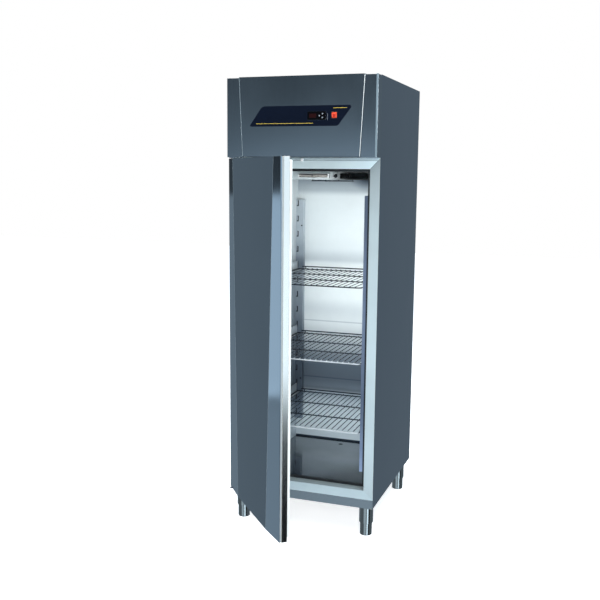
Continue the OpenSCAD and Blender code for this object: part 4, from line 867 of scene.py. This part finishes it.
# %% Sweep the gasket's section round the door
HINGE = Vector((-326, -394, 0))
DOOR_TURN = Matrix.Rotation(math.radians(-49), 3, "Z")
DOOR_HALF, DOOR_LOW, DOOR_HIGH = 343.5, 169.0, 1713.4
SECTION = (
    # distance in from the door's edge, and place along Y
    (12.0, -371.5), (12.2, -369.6), (14.2, -368.6), (14.6, -367.6), (12.6, -366.0),
    (12.2, -363.6), (13.6, -361.8), (12.8, -359.8), (12.3, -357.4), (13.6, -355.6),
    (16.0, -354.7), (22.0, -354.5), (27.6, -354.6), (29.4, -355.6), (30.2, -357.6),
    (29.6, -359.6), (31.6, -361.4), (33.2, -363.4), (32.8, -366.0), (31.6, -367.4),
    (32.4, -368.8), (33.8, -369.6), (34.0, -371.5))


def on_door(point):
    """Where a point of the closed door is while the door stands open."""
    return HINGE + DOOR_TURN @ (Vector(point) - HINGE)


def rim_loop(inset, y, corner=5.0, steps=4):
    half, low, high = DOOR_HALF - inset, DOOR_LOW + inset, DOOR_HIGH - inset
    loop = []
    for cx, cz, start in ((half, high, 0), (-half, high, 90), (-half, low, 180), (half, low, 270)):
        cx -= math.copysign(corner, cx)
        cz += corner if cz == low else -corner
        for i in range(steps + 1):
            a = math.radians(start + 90 * i / steps)
            loop.append((cx + corner * math.cos(a), y, cz + corner * math.sin(a)))
    return loop


loops = [[on_door(p) for p in rim_loop(*at)] for at in SECTION]
size = len(loops[0])
points = [p for loop in loops for p in loop]
faces = [(i * size + k, i * size + (k + 1) % size, (i + 1) % len(loops) * size + (k + 1) % size,
          (i + 1) % len(loops) * size + k) for i in range(len(loops)) for k in range(size)]
gasket = piece("bellows_gasket", points, faces, "gasket_rubber", "door", smooth=True)
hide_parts("door_gasket")
print("gasket section of", len(SECTION), "points round", size)

# %% [markdown]
# ## The lamp
# The lamp is a slim tube light on the front of the evaporator cover: a tray with two end caps, dark
# joints, and a fluted lens over the tube. The flutes are real geometry, because their small
# highlights are what makes such a lens look like glass.

# %% Build the lamp
LAMP_X, LAMP_Z = (-132.0, 26.0), (1630.5, 1650.5)
COVER_FACE = -60
CAP, RIM = 7.0, 2.4
shapes = [
    box_shape((LAMP_X[0], -63, LAMP_Z[0]), (LAMP_X[1], COVER_FACE, LAMP_Z[1])),
    box_shape((LAMP_X[0], -75, LAMP_Z[0]), (LAMP_X[0] + CAP, COVER_FACE, LAMP_Z[1])),
    box_shape((LAMP_X[1] - CAP, -75, LAMP_Z[0]), (LAMP_X[1], COVER_FACE, LAMP_Z[1])),
    box_shape((LAMP_X[0], -71, LAMP_Z[1] - RIM), (LAMP_X[1], COVER_FACE, LAMP_Z[1])),
    box_shape((LAMP_X[0], -71, LAMP_Z[0]), (LAMP_X[1], COVER_FACE, LAMP_Z[0] + RIM)),
]
points, faces = joined(shapes)
tray = piece("lamp_tray", points, faces, "box_plastic", "cabinet")
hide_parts("interior_lamp")
first, last = LAMP_X[0] + CAP, LAMP_X[1] - CAP
points, faces = joined([
    box_shape((first, -73, LAMP_Z[1] - 5.2), (last, -60.2, LAMP_Z[1] - 2.6)),
    box_shape((first, -72.4, LAMP_Z[0] + 2.6), (last, -60.2, LAMP_Z[0] + 4.2)),
    box_shape((-60, -74.4, LAMP_Z[0] + 3), (-57, -60.2, LAMP_Z[1] - 3))])
piece("lamp_joints", points, faces, "black_plastic", "cabinet")
FLUTES = 60
LENS_Y, LENS_Z, LENS_DEEP, LENS_HALF, RIDGE = -62, 1640.5, 10.5, 7.4, 0.5
rows = []
for i in range(FLUTES * 2 + 1):
    x = first + (last - first) * i / (FLUTES * 2)
    bulge = RIDGE if i % 2 else 0.0
    rows.append([(x, LENS_Y - (LENS_DEEP + bulge) * math.sin(math.pi * k / 8) ** 0.7,
                  LENS_Z - LENS_HALF * math.cos(math.pi * k / 8)) for k in range(9)])
points = [p for row in rows for p in row]
faces = [(i * 9 + k, i * 9 + k + 1, i * 9 + k + 10, i * 9 + k + 9)
         for i in range(len(rows) - 1) for k in range(8)]
faces += [tuple(range(9)), tuple(range(len(points) - 9, len(points)))]
faces += [(i * 9, i * 9 + 9, i * 9 + 17, i * 9 + 8) for i in range(len(rows) - 1)]
piece("lamp_lens", points, faces, "white_plastic", "cabinet", own=lamp_glass)
print("lamp lens with", FLUTES, "flutes")

# %% [markdown]
# ## Folds, lines and small marks
# A few thin things finish the front. The flap's folded side edges get two pale lines, painted
# highlights, the top rail has a raised band along its outer edge with a line of painted shade under
# it, the frame's corners are mitred with dark joints, the header's side bend gets a band of painted
# highlight, and the fascia carries plain stripes. Each is a thin prism that stands on its sheet, so
# it has real edges from every side.

# %% A thin plate on a face that looks forward


def front_plate(name, outline, back, front, slot, body, own=None, place=Vector):
    """A prism with an outline in X and Z, from the depth back to the depth front. place moves
    its points, for a plate on the open door."""
    size = len(outline)
    points = [place((x, y, z)) for y in (back, front) for x, z in outline]
    faces = [tuple(range(size)), tuple(range(size, 2 * size))]
    faces += [(k, (k + 1) % size, size + (k + 1) % size, size + k) for k in range(size)]
    return piece(name, points, faces, slot, body, own=own)


def line_outline(start, end, width):
    along = Vector((end[0] - start[0], end[1] - start[1])).normalized()
    off = Vector((-along.y, along.x)) * width / 2
    return [(start[0] - off.x, start[1] - off.y), (end[0] - off.x, end[1] - off.y),
            (end[0] + off.x, end[1] + off.y), (start[0] + off.x, start[1] + off.y)]


FACE, FRAME_FACE = -413.0, -354.0
front_plate("flap_fold_right", line_outline((270.8, 1723), (287.3, 2065), 1.8), FACE, FACE - 0.5,
            "outer_steel", "header_flap", fold_highlight)
front_plate("flap_fold_left", line_outline((-270.9, 1723), (-287.4, 2065), 1.5), FACE, FACE - 0.4,
            "outer_steel", "header_flap", fold_dim_highlight)
front_plate("rail_band", [(-335, 1708), (335, 1708), (345.5, 1718.6), (-345.5, 1718.6)],
            FRAME_FACE, FRAME_FACE - 0.6, "frame_steel", "cabinet")
# The groove's dark line is painted shade under the raised band; the mitre lines are dark joints.
for name, start, end in (
        ("rail_groove", (-334, 1706.8), (338, 1706.8)),
        ("mitre_right", (303, 1671.5), (337.5, 1706)),
        ("mitre_left", (-303, 1671.5), (-337.5, 1706))):
    front_plate(name, line_outline(start, end, 1.6), FRAME_FACE, FRAME_FACE - 0.15, "frame_steel",
                "cabinet", dark_joint_and_shade)
front_plate("header_bend", [(337.6, 1720.5), (345.9, 1720.5), (345.9, 2066), (337.6, 2066)],
            -411.0, -411.4, "outer_steel", "cabinet", bend_highlight_band)
SILL = FACE - 1.0
for name, start, end, width in (
        ("stripe_low", (-206, 1864.5), (60, 1864.5), 1.4),
        ("stripe_high", (150, 1928), (212, 1928), 1.4)):
    front_plate(name, line_outline(start, end, width), SILL, SILL - 0.12, "fascia_film",
                "header_flap", stripe_yellow)
front_plate("display_divider", line_outline((125.5, 1877), (125.5, 1906), 1.0), SILL, SILL - 0.12,
            "key_plastic", "header_flap")
front_plate("display_glow", [(42, 1888), (74, 1888), (74, 1905), (42, 1905)], -414.38, -414.46,
            "display_window", "header_flap", ember_red)
for name, side in (("plinth_corner_right", 1), ("plinth_corner_left", -1)):
    front_plate(name, [(side * 339, 136.4), (side * 345.3, 136.4), (side * 345.3, 146),
                       (side * 339, 146)], -352.9, -353.5, "outer_steel", "cabinet", plinth_steel)
# The sensor cap's brighter white is a painted highlight.
points, faces = box_shape((-14, -362, 1702.8), (-3, -354, 1717))
sensor = piece("sensor_cap", points, faces, "white_plastic", "cabinet", own=sensor_white)
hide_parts("door_sensor")
rounding = sensor.modifiers.new("moulded_radius", "BEVEL")
rounding.width = 1.5 * MM
rounding.segments = 3
print("thin pieces on the front ready")

# %% [markdown]
# The rocker has a darker lens let into its bowed face. The lens is a small grid that follows the
# bow, tilted with the rocker about its pin.

# %% The rocker's lens
BOW, BOW_Y, LENS_TALL = 30.06, -385, 13
PIN = Vector((0, -406, 1898))
TILT = Matrix.Rotation(math.radians(7), 3, "X")
points = []
for x in (149.0, 161.0):
    for k in range(9):
        z = LENS_TALL * (k / 8 - 0.5)
        at = Vector((x, BOW_Y - math.sqrt(BOW ** 2 - z ** 2), PIN.z + z))
        points.append(PIN + TILT @ (at - PIN))
faces = [(k, k + 1, k + 10, k + 9) for k in range(8)]
lens = piece("rocker_lens", points, faces, "switch_orange", "power_switch", True, switch_lens)
thick = lens.modifiers.new("thickness", "SOLIDIFY")
thick.thickness = 0.0004
print("lens on the rocker")

# %% [markdown]
# The door's face has two shallow folds, where its side facets begin. Each has a fine bright line, a
# painted highlight. The folds lean in towards the foot, as the drawing's facets do.

# %% Fold lines of the door
for name, side in (("door_fold_right", 1), ("door_fold_left", -1)):
    outline = [(side * x, z) for x, z in ((270.6, 1712), (195.7, 170), (196.9, 170), (271.8, 1712))]
    front_plate(name, outline, FACE + 0.3, FACE - 0.12, "outer_steel", "door", fold_dim_highlight, on_door)
print("door folds ready")

# %% [markdown]
# The rear uprights are folded channels, dark inside. A matt black strip behind the slots is painted
# shade: it stands for the dark inside the channel and keeps the wall's brightness from shining
# through them. Each slot has a thin black hook shape on its face, painted shade for the slot's dark
# pressed edge. On the rear cover, each slot of the drawing has a pressed hood on its inner side,
# which keeps water out.

# %% Painted shade in the channels and slots, and the louvre hoods
UPRIGHT_X, SLOT_TOP, SLOT_PITCH, SLOTS = 271, 1479, 81, 15
LOUVRES, LOUVRE_LOW, LOUVRE_PITCH = 9, 1831, 24.67
shapes = [box_shape((x - 8, 322.5, 322), (x + 8, 323.5, 1512)) for x in (-UPRIGHT_X, UPRIGHT_X)]
points, faces = joined(shapes)
piece("channel_shade", points, faces, "black_plastic", "cabinet")
shapes = []
for i in range(SLOTS):
    low = SLOT_TOP - SLOT_PITCH * i
    for x in (-UPRIGHT_X, UPRIGHT_X):
        shapes += [box_shape((x + 1, 319.5, low), (x + 4.6, 320.2, low + 30)),
                   box_shape((x - 6, 319.5, low), (x + 1, 320.2, low + 6)),
                   box_shape((x - 2, 319.5, low + 26), (x + 1, 320.2, low + 30))]
points, faces = joined(shapes)
piece("slot_hook_shade", points, faces, "black_plastic", "cabinet")
shapes = []
for x in (-130, 130):
    for i in range(LOUVRES):
        foot = LOUVRE_LOW + LOUVRE_PITCH * i - 1
        left, right, top = x - 106, x + 106, foot + 11.5
        hood = [(left, 412, top), (right, 412, top), (right, 403, foot), (left, 403, foot),
                (left, 411.2, top), (right, 411.2, top), (right, 402.2, foot),
                (left, 402.2, foot)]
        shapes.append((hood, [(0, 1, 2, 3), (4, 7, 6, 5), (0, 4, 5, 1), (3, 2, 6, 7), (0, 3, 7, 4),
                              (1, 5, 6, 2)]))
points, faces = joined(shapes)
piece("louvre_hoods", points, faces, "rear_steel", "cabinet")
print("channels and", len(shapes), "hoods")
